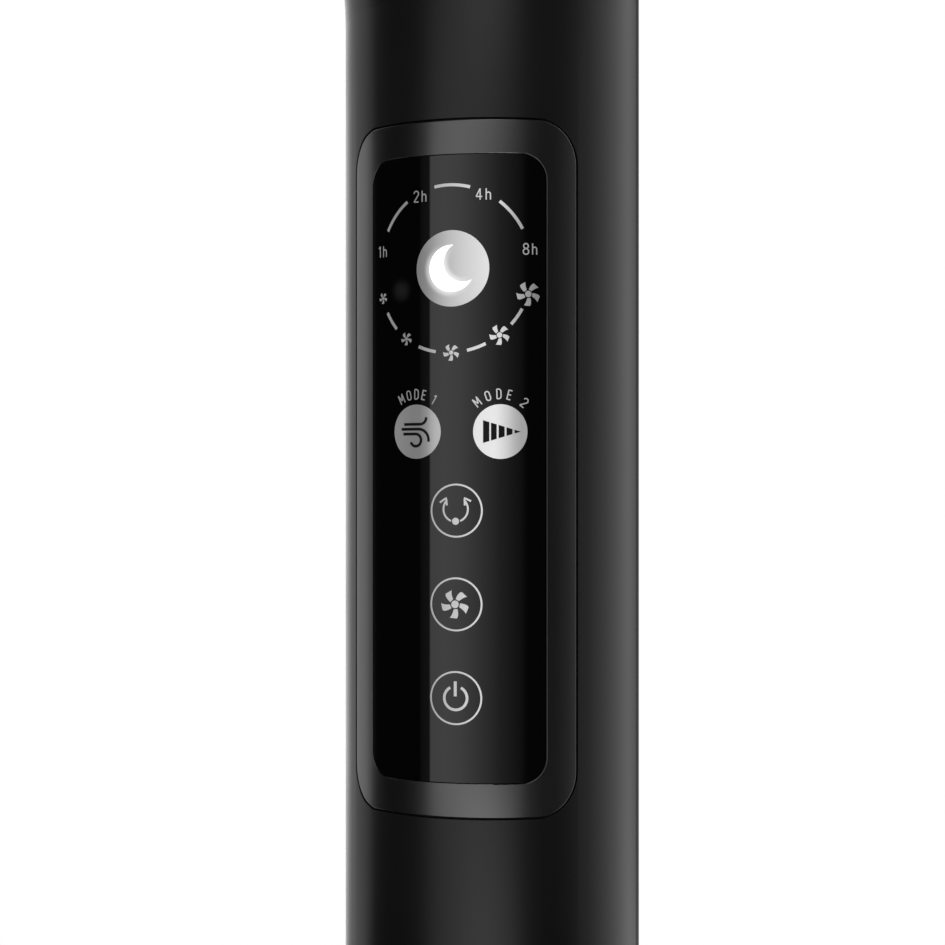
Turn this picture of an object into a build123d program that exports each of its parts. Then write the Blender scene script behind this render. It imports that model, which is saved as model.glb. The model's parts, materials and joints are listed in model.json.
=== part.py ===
"""Tower fan: a round column with a cross-flow blower, turning on a weighted base.

Millimetres. +Z is up and the front faces -Y. The origin is the centre of the base,
on the surface that the feet stand on.
"""

from math import acos, asin, cos, exp, hypot, log, pi, radians, sin, tan
import os

from build123d import *

os.makedirs("parts", exist_ok=True)

# ---------------------------------------------------------------- driving sizes
# Base
base_radius = 130.0
base_edge_height = 17.0
base_height = 34.0
base_flat_radius = 60.0
base_wall = 2.5
plate_thickness = 3.0
foot_stand = 2.0
foot_radius = 9.0
foot_thickness = 3.0
foot_circle = 108.0
foot_count = 5
ballast_thickness = 6.0
ballast_inner_radius = 62.0
ballast_outer_radius = 96.0

# Column
column_radius = 55.0
shell_wall = 2.5
column_gap = 1.5
bottom_to_panel = 236.5
panel_to_flare = 44.0
flare_length = 36.0
front_bulge = 6.0
joint_above_flare = 3.0
duct_height = 456.0
handle_zone = 42.0
trim_height = 2.2
cap_height = 14.5

# Control panel: sizes along the round surface
bezel_width = 91.8
bezel_height = 242.6
bezel_corner = 15.0
bezel_border = 11.8
lens_corner = 9.0
lens_recess = 0.1
bezel_round = 0.3
lens_round = 0.25
window_round = 0.15

# Blower
wheel_radius = 33.0
wheel_offset = 6.0
blade_count = 28
blade_depth = 8.0
blade_thickness = 1.1
wheel_sections = 5
disc_thickness = 1.8
motor_radius = 30.0
motor_height = 44.0
motor_wall = 1.5
shaft_radius = 4.0

# Swivel
pivot_radius = 14.0
pivot_bore = 10.0
ball_radius = 2.0
ball_circle = 29.0
ball_count = 12
turntable_thickness = 4.0
swing_angle = 90.0
stop_circle = 41.0
stop_radius = 2.5
gear_module = 1.0
gear_teeth = 45
pinion_teeth = 15
gear_width = 8.0
pressure_angle = radians(20)

# Fits and fasteners
seam_gap = 0.3
running_gap = 0.05
panel_gap = 0.7
lens_gap = 0.25
screw_radius = 1.5
screw_hole_radius = 1.75
head_radius = 2.9
head_height = 1.8
head_pocket_radius = 3.4
boss_radius = 4.0
boss_root = 1.0
plate_sheet = 3.0
board_thickness = 1.6

# ---------------------------------------------------------------- stations that follow
plate_top = foot_stand + plate_thickness
base_cavity_radius = base_radius - base_wall
column_bottom = base_height + column_gap
inner_radius = column_radius - shell_wall
fit_radius = inner_radius - seam_gap
panel_z = column_bottom + bottom_to_panel
flare_z = panel_z + bezel_height / 2 + panel_to_flare
joint_z = flare_z + flare_length + joint_above_flare
lower_partition_z = joint_z + plate_sheet
duct_z = lower_partition_z + plate_sheet
upper_partition_z = duct_z + duct_height
trim_z = upper_partition_z + plate_sheet + handle_zone
cap_z = trim_z + trim_height
top_z = cap_z + cap_height

lens_width = bezel_width - 2 * bezel_border
lens_height = bezel_height - 2 * bezel_border
front = -90.0


def polar(radius, degrees):
    """A point in plan, at an angle counted from +X towards +Y."""
    return (radius * cos(radians(degrees)), radius * sin(radians(degrees)))


def finish(builder, name):
    """Names a finished piece and writes it."""
    builder.part.label = name
    export_step(builder.part, f"parts/{name}.step")


# ---------------------------------------------------------------- shared profiles
def front_section(radius, bulge):
    """Front half of the column's plan, standing bulge proud of the circle at the front."""
    with BuildSketch() as section:
        with BuildLine():
            ThreePointArc((radius, 0), (0, -radius - bulge), (-radius, 0))
            Line((-radius, 0), (radius, 0))
        make_face()
    return section.sketch


def rear_section(radius):
    """Rear half of the column's plan."""
    with BuildSketch() as section:
        with BuildLine():
            ThreePointArc((radius, 0), (0, radius), (-radius, 0))
            Line((-radius, 0), (radius, 0))
        make_face()
    return section.sketch


def duct_section(radius, bulge):
    """Whole plan of the upper column: a half circle behind, the proud arc in front."""
    with BuildSketch() as section:
        add(front_section(radius, bulge))
        add(rear_section(radius))
    return section.sketch


def wrapped_outline(width, height, corner):
    """A rounded rectangle laid round the column and seen straight on.

    Width and corner are measured along the surface, so the sides draw in as the column does.
    """
    half, tall = width / 2, height / 2
    steps = 6

    def point(side, end, turn):
        along = half - corner + corner * cos(turn)
        rise = tall - corner + corner * sin(turn)
        return (side * column_radius * sin(along / column_radius), end * rise)

    turns = [k * pi / 2 / steps for k in range(steps + 1)]
    corners = {(side, end): [point(side, end, t) for t in turns] for side in (1, -1) for end in (1, -1)}
    with BuildSketch() as outline:
        with BuildLine():
            for (side, end), points in corners.items():
                Spline(*points, tangents=[(0, end), (-side, 0)])
            for side in (1, -1):
                Line(corners[side, -1][0], corners[side, 1][0])
            for end in (1, -1):
                Line(corners[1, end][-1], corners[-1, end][-1])
        make_face()
    return outline.sketch


def screw_body(length):
    """A pan head on the local XY plane, with its shank below and a cross recess."""
    Cylinder(screw_radius, length, align=(Align.CENTER, Align.CENTER, Align.MAX))
    Cylinder(head_radius, head_height, align=(Align.CENTER, Align.CENTER, Align.MIN))


def cross_recess(z):
    """The cross slot in a screw's head."""
    slot = (head_radius * 1.2, head_radius * 0.3, head_height * 0.5)
    with Locations((0, 0, z)):
        for turn in (0, 90):
            Box(*slot, rotation=(0, 0, turn), align=(Align.CENTER, Align.CENTER, Align.MAX),
                mode=Mode.SUBTRACT)


def screws(name, length, places):
    """Identical screws in one node. Each place is where the head's underside sits."""
    with BuildPart() as one:
        screw_body(length)
        cross_recess(head_height)
    with BuildPart() as group:
        with Locations(*places):
            add(one.part)
    finish(group, name)


def down(x, y, z):
    """A screw driven downwards."""
    return Location((x, y, z))


def up(x, y, z):
    """A screw driven upwards, with its head below."""
    return Location((x, y, z), (180, 0, 0))


def forward(x, y, z):
    """A screw driven towards the front, with its head behind."""
    return Location((x, y, z), (-90, 0, 0))


def backward(x, y, z):
    """A screw driven towards the rear, with its head in front."""
    return Location((x, y, z), (90, 0, 0))


# ================================================================ base
gland_radius = 5.0
gland_bore = 3.4
gland_flange = 4.0
gland_z = foot_stand + gland_radius + 1.5
notch_depth = 13.0
notch_half_width = 12.0
notch_back = base_radius - notch_depth
cover_screw_circle = 118.0
cover_screw_angles = (30, 150, 234, 306)
hub_screw_circle = 20.0
ballast_screw_circle = (ballast_inner_radius + ballast_outer_radius) / 2
pillar_radius = 4.5


def dome_section(radius, edge_z, flat_radius, top_z_level, floor_z):
    """Half section of the base's low dome, in the XZ plane."""
    middle_r = (radius + flat_radius) / 2
    middle_z = edge_z + (top_z_level - edge_z) * 0.68
    with BuildSketch(Plane.XZ) as section:
        with BuildLine():
            Polyline((0, top_z_level), (0, floor_z), (radius, floor_z), (radius, edge_z))
            ThreePointArc((radius, edge_z), (middle_r, middle_z), (flat_radius, top_z_level))
            Line((flat_radius, top_z_level), (0, top_z_level))
        make_face()
    return section.sketch


# The hollow under the cover, less the pillars and the notch's walls that stay in it
with BuildPart() as base_cavity:
    add(dome_section(base_cavity_radius, base_edge_height - base_wall, base_flat_radius,
                     base_height - base_wall, foot_stand))
    revolve(axis=Axis.Z)
    with Locations(*[(*polar(cover_screw_circle, a), plate_top) for a in cover_screw_angles]):
        Cylinder(pillar_radius, base_height, align=(Align.CENTER, Align.CENTER, Align.MIN),
                 mode=Mode.SUBTRACT)
    with Locations((0, 0, base_height - 10)):
        with PolarLocations(hub_screw_circle, 4, 45):
            Cylinder(boss_radius, base_height, align=(Align.CENTER, Align.CENTER, Align.MIN),
                     mode=Mode.SUBTRACT)
    with Locations((0, notch_back - base_wall, foot_stand)):
        Box(2 * (notch_half_width + base_wall), base_radius, base_height,
            align=(Align.CENTER, Align.MIN, Align.MIN), mode=Mode.SUBTRACT)

with BuildPart() as base_cover:
    add(dome_section(base_radius, base_edge_height, base_flat_radius, base_height, foot_stand))
    revolve(axis=Axis.Z)
    round_edges = base_cover.edges().filter_by(GeomType.CIRCLE)
    rim = round_edges.filter_by(lambda e: abs(e.radius - base_radius) < 0.01)
    fillet(rim.sort_by(Axis.Z)[-1], 2.0)
    add(base_cavity.part, mode=Mode.SUBTRACT)
    # recess that the cord leaves through
    with Locations((0, notch_back, foot_stand)):
        Box(2 * notch_half_width, base_radius, gland_z - foot_stand + gland_radius + 2,
            align=(Align.CENTER, Align.MIN, Align.MIN), mode=Mode.SUBTRACT)
    with Locations(Location((0, notch_back, gland_z), (-90, 0, 0))):
        Cylinder(gland_radius + running_gap, 4 * base_wall, mode=Mode.SUBTRACT)
    # way for the wires up the pivot
    Cylinder(pivot_bore, 2 * base_height, align=(Align.CENTER, Align.CENTER, Align.MIN), mode=Mode.SUBTRACT)
    with Locations(*[(*polar(cover_screw_circle, a), plate_top) for a in cover_screw_angles]):
        Cylinder(screw_radius, 7, align=(Align.CENTER, Align.CENTER, Align.MIN), mode=Mode.SUBTRACT)
    with Locations((0, 0, base_height)):
        with PolarLocations(hub_screw_circle, 4, 45):
            Cylinder(screw_radius, 8, align=(Align.CENTER, Align.CENTER, Align.MAX), mode=Mode.SUBTRACT)
    # stop that ends the swing
    with Locations((0, stop_circle, base_height)):
        Cylinder(stop_radius, column_gap + 3, align=(Align.CENTER, Align.CENTER, Align.MIN))
finish(base_cover, "base_cover")

with BuildPart() as base_plate:
    with BuildSketch(Plane.XY.offset(foot_stand)):
        Circle(base_cavity_radius - seam_gap)
        with Locations((0, notch_back - base_wall - seam_gap)):
            Rectangle(2 * (notch_half_width + base_wall + seam_gap), base_radius,
                      align=(Align.CENTER, Align.MIN), mode=Mode.SUBTRACT)
        with Locations((0, notch_back - base_wall - gland_flange - seam_gap)):
            Rectangle(2 * (gland_radius + 2), base_radius, align=(Align.CENTER, Align.MIN),
                      mode=Mode.SUBTRACT)
    extrude(amount=plate_thickness)
    with Locations((0, 0, foot_stand)):
        with PolarLocations(foot_circle, foot_count, -90):
            Cylinder(foot_radius, foot_thickness - foot_stand,
                     align=(Align.CENTER, Align.CENTER, Align.MIN), mode=Mode.SUBTRACT)
        with PolarLocations(ballast_screw_circle, 4, 0):
            Cylinder(screw_hole_radius, plate_thickness,
                     align=(Align.CENTER, Align.CENTER, Align.MIN), mode=Mode.SUBTRACT)
    with Locations(*[(*polar(cover_screw_circle, a), foot_stand) for a in cover_screw_angles]):
        Cylinder(screw_hole_radius, plate_thickness,
                 align=(Align.CENTER, Align.CENTER, Align.MIN), mode=Mode.SUBTRACT)
finish(base_plate, "base_plate")

with BuildPart() as rubber_feet:
    with PolarLocations(foot_circle, foot_count, -90):
        Cylinder(foot_radius, foot_thickness, align=(Align.CENTER, Align.CENTER, Align.MIN))
    chamfer(rubber_feet.edges().group_by(Axis.Z)[0], 0.6)
finish(rubber_feet, "rubber_feet")

with BuildPart() as ballast_ring:
    with BuildSketch(Plane.XY.offset(plate_top)):
        Circle(ballast_outer_radius)
        Circle(ballast_inner_radius, mode=Mode.SUBTRACT)
    extrude(amount=ballast_thickness)
    with Locations((0, 0, plate_top)):
        with PolarLocations(ballast_screw_circle, 4, 0):
            Cylinder(screw_radius, ballast_thickness,
                     align=(Align.CENTER, Align.CENTER, Align.MIN), mode=Mode.SUBTRACT)
finish(ballast_ring, "ballast_ring")

base_places = [(*polar(cover_screw_circle, a), foot_stand) for a in cover_screw_angles]
base_places += [(*polar(ballast_screw_circle, 90 * k), foot_stand) for k in range(4)]
screws("base_screws", plate_thickness + ballast_thickness - 1, [up(*p) for p in base_places])

# Strain relief of the mains cord, open for a round cord
gland_plane = Plane(origin=(0, notch_back, gland_z), x_dir=(1, 0, 0), z_dir=(0, 1, 0))
gland_tail = notch_depth - 1.0
with BuildPart() as cord_gland:
    with BuildSketch(gland_plane.offset(-base_wall - gland_flange)):
        Circle(gland_radius + 1.2)
    extrude(amount=gland_flange)
    with BuildSketch(gland_plane.offset(-base_wall - gland_flange)):
        Circle(gland_radius)
    extrude(amount=base_wall + gland_flange)
    with BuildSketch(gland_plane):
        Circle(gland_radius + 1.5)
    extrude(amount=1.5)
    with BuildSketch(gland_plane):
        Circle(gland_radius)
    with BuildSketch(gland_plane.offset(gland_tail)):
        Circle(gland_bore + 0.9)
    loft()
    # ribs that let the tail bend
    for k in range(3):
        with BuildSketch(gland_plane.offset(3.6 + 2.6 * k)):
            Circle(gland_radius)
            Circle(gland_bore + 0.8, mode=Mode.SUBTRACT)
        extrude(amount=1.0, mode=Mode.SUBTRACT)
    with BuildSketch(gland_plane.offset(-base_wall - gland_flange)):
        Circle(gland_bore)
    extrude(amount=base_wall + gland_flange + gland_tail, mode=Mode.SUBTRACT)
finish(cord_gland, "cord_gland")

# ================================================================ swivel
hub_flange = 3.0
hub_flange_radius = 34.0
race_z = base_height + hub_flange
turntable_z = race_z + 2 * ball_radius
turntable_top = turntable_z + turntable_thickness
turntable_hub_height = 6.0
bush_wall = 3.0
bush_radius = pivot_radius + bush_wall
bush_flange = 1.5
gear_z = turntable_top + turntable_hub_height + bush_flange + 0.5
pivot_top = gear_z + gear_width + 5
clip_width = 1.2
clip_groove = 0.8
key_width = 3.0
gear_reach = gear_module * (gear_teeth + pinion_teeth) / 2
bracket_z = pivot_top + 2
bracket_sheet = 2.5
bracket_post_circle = 42.0
drive_angle = 90.0
drive_centre = polar(gear_reach, drive_angle)

with BuildPart() as pivot_hub:
    with BuildSketch(Plane.XY.offset(base_height)):
        Circle(hub_flange_radius)
        Circle(pivot_bore, mode=Mode.SUBTRACT)
    extrude(amount=hub_flange)
    with BuildSketch(Plane.XY.offset(race_z)):
        Circle(pivot_radius)
        Circle(pivot_bore, mode=Mode.SUBTRACT)
    extrude(amount=pivot_top - race_z)
    # groove for the clip, above the gear
    with BuildSketch(Plane.XY.offset(gear_z + gear_width)):
        Circle(pivot_radius + 1)
        Circle(pivot_radius - clip_groove, mode=Mode.SUBTRACT)
    extrude(amount=clip_width, mode=Mode.SUBTRACT)
    # key that holds the gear still
    with Locations((pivot_radius - key_width / 2, 0, gear_z)):
        Box(key_width, key_width, gear_width, align=(Align.MIN, Align.CENTER, Align.MIN))
    with Locations((0, 0, base_height)):
        with PolarLocations(hub_screw_circle, 4, 45):
            Cylinder(screw_hole_radius, hub_flange,
                     align=(Align.CENTER, Align.CENTER, Align.MIN), mode=Mode.SUBTRACT)
finish(pivot_hub, "pivot_hub")

hub_head_z = race_z
hub_places = [(*polar(hub_screw_circle, 45 + 90 * k), hub_head_z) for k in range(4)]
screws("hub_screws", hub_flange + 7, [down(*p) for p in hub_places])

cage_thickness = 1.6
cage_z = race_z + ball_radius
with BuildPart() as ball_cage:
    with BuildSketch(Plane.XY.offset(cage_z - cage_thickness / 2)):
        Circle(ball_circle + 3.6)
        Circle(ball_circle - 3.6, mode=Mode.SUBTRACT)
        with PolarLocations(ball_circle, ball_count):
            Circle(ball_radius + 0.1, mode=Mode.SUBTRACT)
    extrude(amount=cage_thickness)
finish(ball_cage, "ball_cage")

with BuildPart() as thrust_balls:
    with Locations((0, 0, cage_z)):
        with PolarLocations(ball_circle, ball_count):
            Sphere(ball_radius - 0.02)
finish(thrust_balls, "thrust_balls")

rim_inner_radius = hub_flange_radius + 2
stop_play = 0.2
foot_screw_circle = 48.0
foot_screw_angles = (8, 90, 172, 188, 235, 305, 352)
foot_pocket_depth = 3.0
bracket_post_angles = (30, 150, 270)
with BuildPart() as turntable:
    with BuildSketch(Plane.XY.offset(turntable_z)):
        Circle(fit_radius)
    extrude(amount=turntable_thickness)
    with BuildSketch(Plane.XY.offset(column_bottom)):
        Circle(fit_radius)
        Circle(rim_inner_radius, mode=Mode.SUBTRACT)
    extrude(amount=turntable_z - column_bottom)
    with BuildSketch(Plane.XY.offset(turntable_top)):
        Circle(bush_radius + 4)
    extrude(amount=turntable_hub_height)
    with BuildSketch(Plane.XY.offset(turntable_top)):
        for angle in bracket_post_angles:
            with Locations(polar(bracket_post_circle, angle)):
                Circle(boss_radius)
    extrude(amount=bracket_z - turntable_top)
    with BuildSketch(Plane.XY.offset(bracket_z)):
        for angle in bracket_post_angles:
            with Locations(polar(bracket_post_circle, angle)):
                Circle(screw_radius)
    extrude(amount=-9, mode=Mode.SUBTRACT)
    # bearing seat
    Cylinder(bush_radius, 3 * base_height, align=(Align.CENTER, Align.CENTER, Align.MIN), mode=Mode.SUBTRACT)
    # groove for the stop: its ends meet the stop at the end of the swing
    with BuildSketch(Plane.XY.offset(column_bottom)):
        with BuildLine(mode=Mode.PRIVATE) as stop_path:
            CenterArc((0, 0), stop_circle, 90 - swing_angle, 2 * swing_angle)
        SlotArc(stop_path.edge(), 2 * (stop_radius + stop_play))
    extrude(amount=turntable_z - column_bottom - 1, mode=Mode.SUBTRACT)
    with BuildSketch(Plane.XY.offset(column_bottom)):
        for angle in foot_screw_angles:
            with Locations(polar(foot_screw_circle, angle)):
                Circle(screw_hole_radius)
    extrude(amount=turntable_top - column_bottom, mode=Mode.SUBTRACT)
    with BuildSketch(Plane.XY.offset(column_bottom)):
        for angle in foot_screw_angles:
            with Locations(polar(foot_screw_circle, angle)):
                Circle(head_pocket_radius)
    extrude(amount=foot_pocket_depth, mode=Mode.SUBTRACT)
finish(turntable, "turntable")

foot_places = [(*polar(foot_screw_circle, a), column_bottom + foot_pocket_depth) for a in foot_screw_angles]
foot_screw_length = turntable_top - column_bottom - foot_pocket_depth + 8
screws("column_screws", foot_screw_length, [up(*p) for p in foot_places])

with BuildPart() as pivot_bush:
    with BuildSketch(Plane.XY.offset(turntable_z)):
        Circle(bush_radius)
    extrude(amount=turntable_thickness + turntable_hub_height)
    with BuildSketch(Plane.XY.offset(turntable_top + turntable_hub_height)):
        Circle(bush_radius + 3)
    extrude(amount=bush_flange)
    Cylinder(pivot_radius + running_gap, 3 * base_height,
             align=(Align.CENTER, Align.CENTER, Align.MIN), mode=Mode.SUBTRACT)
finish(pivot_bush, "pivot_bush")


def gear_outline(teeth, addendum, backlash):
    """An involute spur gear's outline, with one tooth centred on +X."""
    pitch = gear_module * teeth / 2
    base = pitch * cos(pressure_angle)
    tip = pitch + gear_module * addendum
    root = pitch - gear_module * 1.25
    half_at_pitch = (pi * gear_module / 2 - backlash) / (2 * pitch)

    def half_tooth(radius):
        slope = acos(min(1.0, base / radius))
        return half_at_pitch + tan(pressure_angle) - pressure_angle - (tan(slope) - slope)

    start = max(base, root)
    flank = [start + (tip - start) * k / 4 for k in range(5)]
    foot_angle = half_tooth(start)

    def at(radius, angle):
        return (radius * cos(angle), radius * sin(angle))

    with BuildSketch() as outline:
        Circle(root)
        with BuildSketch() as tooth:
            with BuildLine():
                Spline(*[at(r, half_tooth(r)) for r in flank])
                Spline(*[at(r, -half_tooth(r)) for r in flank])
                ThreePointArc(at(tip, half_tooth(tip)), (tip, 0), at(tip, -half_tooth(tip)))
                Polyline(at(start, foot_angle), at(root * 0.97, foot_angle),
                         at(root * 0.97, -foot_angle), at(start, -foot_angle))
            make_face()
        with PolarLocations(0, teeth - 1, 360 / teeth, 360 - 360 / teeth):
            add(tooth.sketch)
    return outline.sketch


gear_backlash = 0.14
with BuildPart() as fixed_gear:
    with BuildSketch(Plane.XY.offset(gear_z).rotated((0, 0, drive_angle))):
        add(gear_outline(gear_teeth, 0.92, gear_backlash))
    extrude(amount=gear_width)
    Cylinder(pivot_radius, 3 * base_height, align=(Align.CENTER, Align.CENTER, Align.MIN), mode=Mode.SUBTRACT)
    with Locations((pivot_radius - 1, 0, gear_z)):
        Box(key_width / 2 + 1, key_width, gear_width,
            align=(Align.MIN, Align.CENTER, Align.MIN), mode=Mode.SUBTRACT)
finish(fixed_gear, "fixed_gear")

clip_rim = 2.5
clip_mouth = 0.8 * pivot_radius
with BuildPart() as pivot_clip:
    with BuildSketch(Plane.XY.offset(gear_z + gear_width)):
        Circle(pivot_radius + clip_rim)
        Circle(pivot_radius - clip_groove, mode=Mode.SUBTRACT)
        with Locations((-pivot_radius, 0)):
            Rectangle(1.5 * pivot_radius, clip_mouth, mode=Mode.SUBTRACT)
    extrude(amount=clip_width)
finish(pivot_clip, "pivot_clip")

# Swing drive: a stepping gearmotor on a bracket over the gears
drive_shaft_radius = 2.5
drive_motor_radius = 17.5
drive_motor_height = 16.0
drive_ear_reach = 21.5
drive_ear_width = 7.0
drive_ear_sheet = 1.0
drive_can_round = 1.0
drive_can_floor = 4.0
drive_shaft_bite = 8.0
drive_plug = (14.0, 5.0, 9.0)
drive_plug_lap = 1.0
drive_plug_rise = 3.0
drive_screw_length = 4.5
pinion_hub_radius = 5.0
pinion_hub_height = 3.0
pinion_opening = 6.0
bracket_window = (16.0, 9.0)
bracket_window_angles = (210, 330)
bracket_window_circle = 0.72 * bracket_post_circle
drive_motor_z = bracket_z + bracket_sheet
pinion_plane = Plane(origin=(*drive_centre, gear_z), z_dir=(0, 0, 1)).rotated((0, 0, drive_angle))
with BuildPart() as drive_pinion:
    with BuildSketch(pinion_plane):
        add(gear_outline(pinion_teeth, 0.92, gear_backlash))
        Circle(drive_shaft_radius, mode=Mode.SUBTRACT)
    extrude(amount=gear_width)
    with BuildSketch(pinion_plane.offset(gear_width)):
        Circle(pinion_hub_radius)
        Circle(drive_shaft_radius, mode=Mode.SUBTRACT)
    extrude(amount=pinion_hub_height)
finish(drive_pinion, "drive_pinion")

with BuildPart() as drive_shaft:
    with BuildSketch(pinion_plane):
        Circle(drive_shaft_radius)
    extrude(amount=drive_motor_z + drive_shaft_bite - gear_z)
finish(drive_shaft, "drive_shaft")

bracket_reach = bracket_post_circle + boss_radius
with BuildPart() as drive_bracket:
    with BuildSketch(Plane.XY.offset(bracket_z)):
        Circle(bracket_reach)
        Circle(pivot_bore + 2, mode=Mode.SUBTRACT)
        with Locations(drive_centre):
            Circle(pinion_opening, mode=Mode.SUBTRACT)
        for angle in bracket_post_angles:
            with Locations(polar(bracket_post_circle, angle)):
                Circle(screw_hole_radius, mode=Mode.SUBTRACT)
        for side in (1, -1):
            with Locations((drive_centre[0] + side * drive_ear_reach, drive_centre[1])):
                Circle(screw_radius, mode=Mode.SUBTRACT)
        # windows that save weight and let the wires by
        for angle in bracket_window_angles:
            with Locations(Location((*polar(bracket_window_circle, angle), 0), (0, 0, angle))):
                SlotCenterToCenter(*bracket_window, rotation=90, mode=Mode.SUBTRACT)
    extrude(amount=bracket_sheet)
finish(drive_bracket, "drive_bracket")

with BuildPart() as drive_motor:
    with BuildSketch(Plane.XY.offset(drive_motor_z)):
        with Locations(drive_centre):
            Circle(drive_motor_radius)
    extrude(amount=drive_motor_height)
    fillet(drive_motor.edges().group_by(Axis.Z)[-1], drive_can_round)
    with BuildSketch(Plane.XY.offset(drive_motor_z)):
        with Locations(drive_centre):
            SlotCenterToCenter(2 * drive_ear_reach, drive_ear_width)
    extrude(amount=drive_ear_sheet)
    with BuildSketch(Plane.XY.offset(drive_motor_z)):
        with Locations(drive_centre):
            Circle(drive_shaft_radius + running_gap)
    extrude(amount=drive_motor_height - drive_can_floor, mode=Mode.SUBTRACT)
    with BuildSketch(Plane.XY.offset(drive_motor_z)):
        for side in (1, -1):
            with Locations((drive_centre[0] + side * drive_ear_reach, drive_centre[1])):
                Circle(screw_hole_radius)
    extrude(amount=drive_ear_sheet, mode=Mode.SUBTRACT)
    # plug housing on the can's flank, towards the column's middle
    plug_y = drive_centre[1] - drive_motor_radius + drive_plug_lap
    with Locations((0, plug_y, drive_motor_z + drive_plug_rise)):
        Box(*drive_plug, align=(Align.CENTER, Align.MAX, Align.MIN))
finish(drive_motor, "drive_motor")

bracket_places = [(*polar(bracket_post_circle, a), drive_motor_z) for a in bracket_post_angles]
ear_top = drive_motor_z + drive_ear_sheet
ear_places = [(drive_centre[0] + s * drive_ear_reach, drive_centre[1], ear_top) for s in (1, -1)]
screws("drive_screws", drive_screw_length, [down(*p) for p in bracket_places + ear_places])

# ================================================================ column shells
side_boss_x = column_radius - shell_wall - 6.5
side_screw_z = (column_bottom + 55, panel_z - 16, flare_z - 18, trim_z - 14)
front_screw_z = side_screw_z[:3]
head_well_y = 8.0
side_screw_length = head_well_y + 12
seam_groove = 0.5
partition_angles = (15, 150)
partition_screw_circle = 48.0
partition_boss = 10.0


def facing_front(y, z=0.0):
    """An upright plane at y, with its normal to the front and its local y up."""
    return Plane(origin=(0, y, z), x_dir=(1, 0, 0), z_dir=(0, -1, 0))


def facing_rear(y, z=0.0):
    """An upright plane at y, with its normal to the rear and its local y up."""
    return Plane(origin=(0, y, z), x_dir=(-1, 0, 0), z_dir=(0, 1, 0))


def front_solid(radius, z_high):
    """The front half of the column as a full solid, with its flare."""
    steps = 6
    with BuildPart() as solid:
        with BuildSketch(Plane.XY.offset(column_bottom)):
            add(front_section(radius, 0))
        extrude(amount=flare_z - column_bottom)
        for k in range(steps + 1):
            share = k / steps
            with BuildSketch(Plane.XY.offset(flare_z + share * flare_length)):
                add(front_section(radius, front_bulge * (3 * share**2 - 2 * share**3)))
        loft()
        with BuildSketch(Plane.XY.offset(flare_z + flare_length)):
            add(front_section(radius, front_bulge))
        extrude(amount=z_high - flare_z - flare_length)
    return solid.part


def posts_along_y(plane, places, radius, reach, limit=None):
    """Round posts from an upright plane outwards, kept inside a limiting solid if one is given."""
    with BuildPart() as posts:
        with BuildSketch(plane):
            with Locations(*places):
                Circle(radius)
        extrude(amount=reach)
        if limit is not None:
            add(limit, mode=Mode.INTERSECT)
    return posts.part


def both_sides(x, heights):
    """Places at x and -x for each height."""
    return [(side * x, z) for z in heights for side in (1, -1)]


def wall_bosses(circle, angles, z_low, z_high, limit):
    """Upright bosses that a web joins to the round wall, kept inside a limiting solid."""
    with BuildPart() as bosses:
        with BuildSketch(Plane.XY.offset(z_low)):
            for angle in angles:
                with Locations(Location((*polar(circle, angle), 0), (0, 0, angle))):
                    Circle(boss_radius)
                    Rectangle(column_radius, 2 * boss_radius, align=(Align.MIN, Align.CENTER))
        extrude(amount=z_high - z_low)
        add(limit, mode=Mode.INTERSECT)
    return bosses.part


def upright_holes(circle, angles, z_low, z_high, radius):
    """Round holes along Z, as a solid to cut with."""
    with BuildPart() as holes:
        with BuildSketch(Plane.XY.offset(z_low)):
            for angle in angles:
                with Locations(polar(circle, angle)):
                    Circle(radius)
        extrude(amount=z_high - z_low)
    return holes.part


def curved_plate(plane, outline, outer, inner):
    """An outline carried through the round wall between two radii."""
    with BuildPart() as plate:
        with BuildSketch(plane):
            add(outline)
        extrude(amount=column_radius + front_bulge)
        with BuildSketch(Plane.XY):
            Circle(outer)
            Circle(inner, mode=Mode.SUBTRACT)
        extrude(amount=top_z, mode=Mode.INTERSECT)
    return plate.part


def round_face_edges(builder, radius):
    """The edges that bound a curved plate's outer round face."""
    faces = builder.faces().filter_by(GeomType.CYLINDER)
    return [edge for face in faces if abs(face.radius - radius) < 0.01 for edge in face.edges()]


def seam_cut(z_low, z_high):
    """The shallow groove along both seams."""
    with BuildPart() as groove:
        with BuildSketch(Plane.XY.offset(z_low)):
            with Locations((column_radius, 0), (-column_radius, 0)):
                Rectangle(seam_groove, seam_groove, rotation=45)
        extrude(amount=z_high - z_low)
    return groove.part


front_feet = [a for a in foot_screw_angles if a > 180]
rear_feet = [a for a in foot_screw_angles if a < 180]
front_supports = (-46.5, -133.5)
foot_boss_height = 10.0
foot_hole_depth = 9.0
panel_plane = facing_front(0, panel_z)
carrier_screw_x = 44.5
carrier_screw_z = (-84, 84)
carrier_ear_y = 23.0
carrier_boss_radius = 3.0
carrier_hole_depth = 5.0
front_side_places = both_sides(side_boss_x, front_screw_z)
rear_side_places = both_sides(side_boss_x, side_screw_z)
carrier_places = both_sides(carrier_screw_x, carrier_screw_z)
carrier_boss_plane = facing_front(-carrier_ear_y, panel_z)

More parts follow.
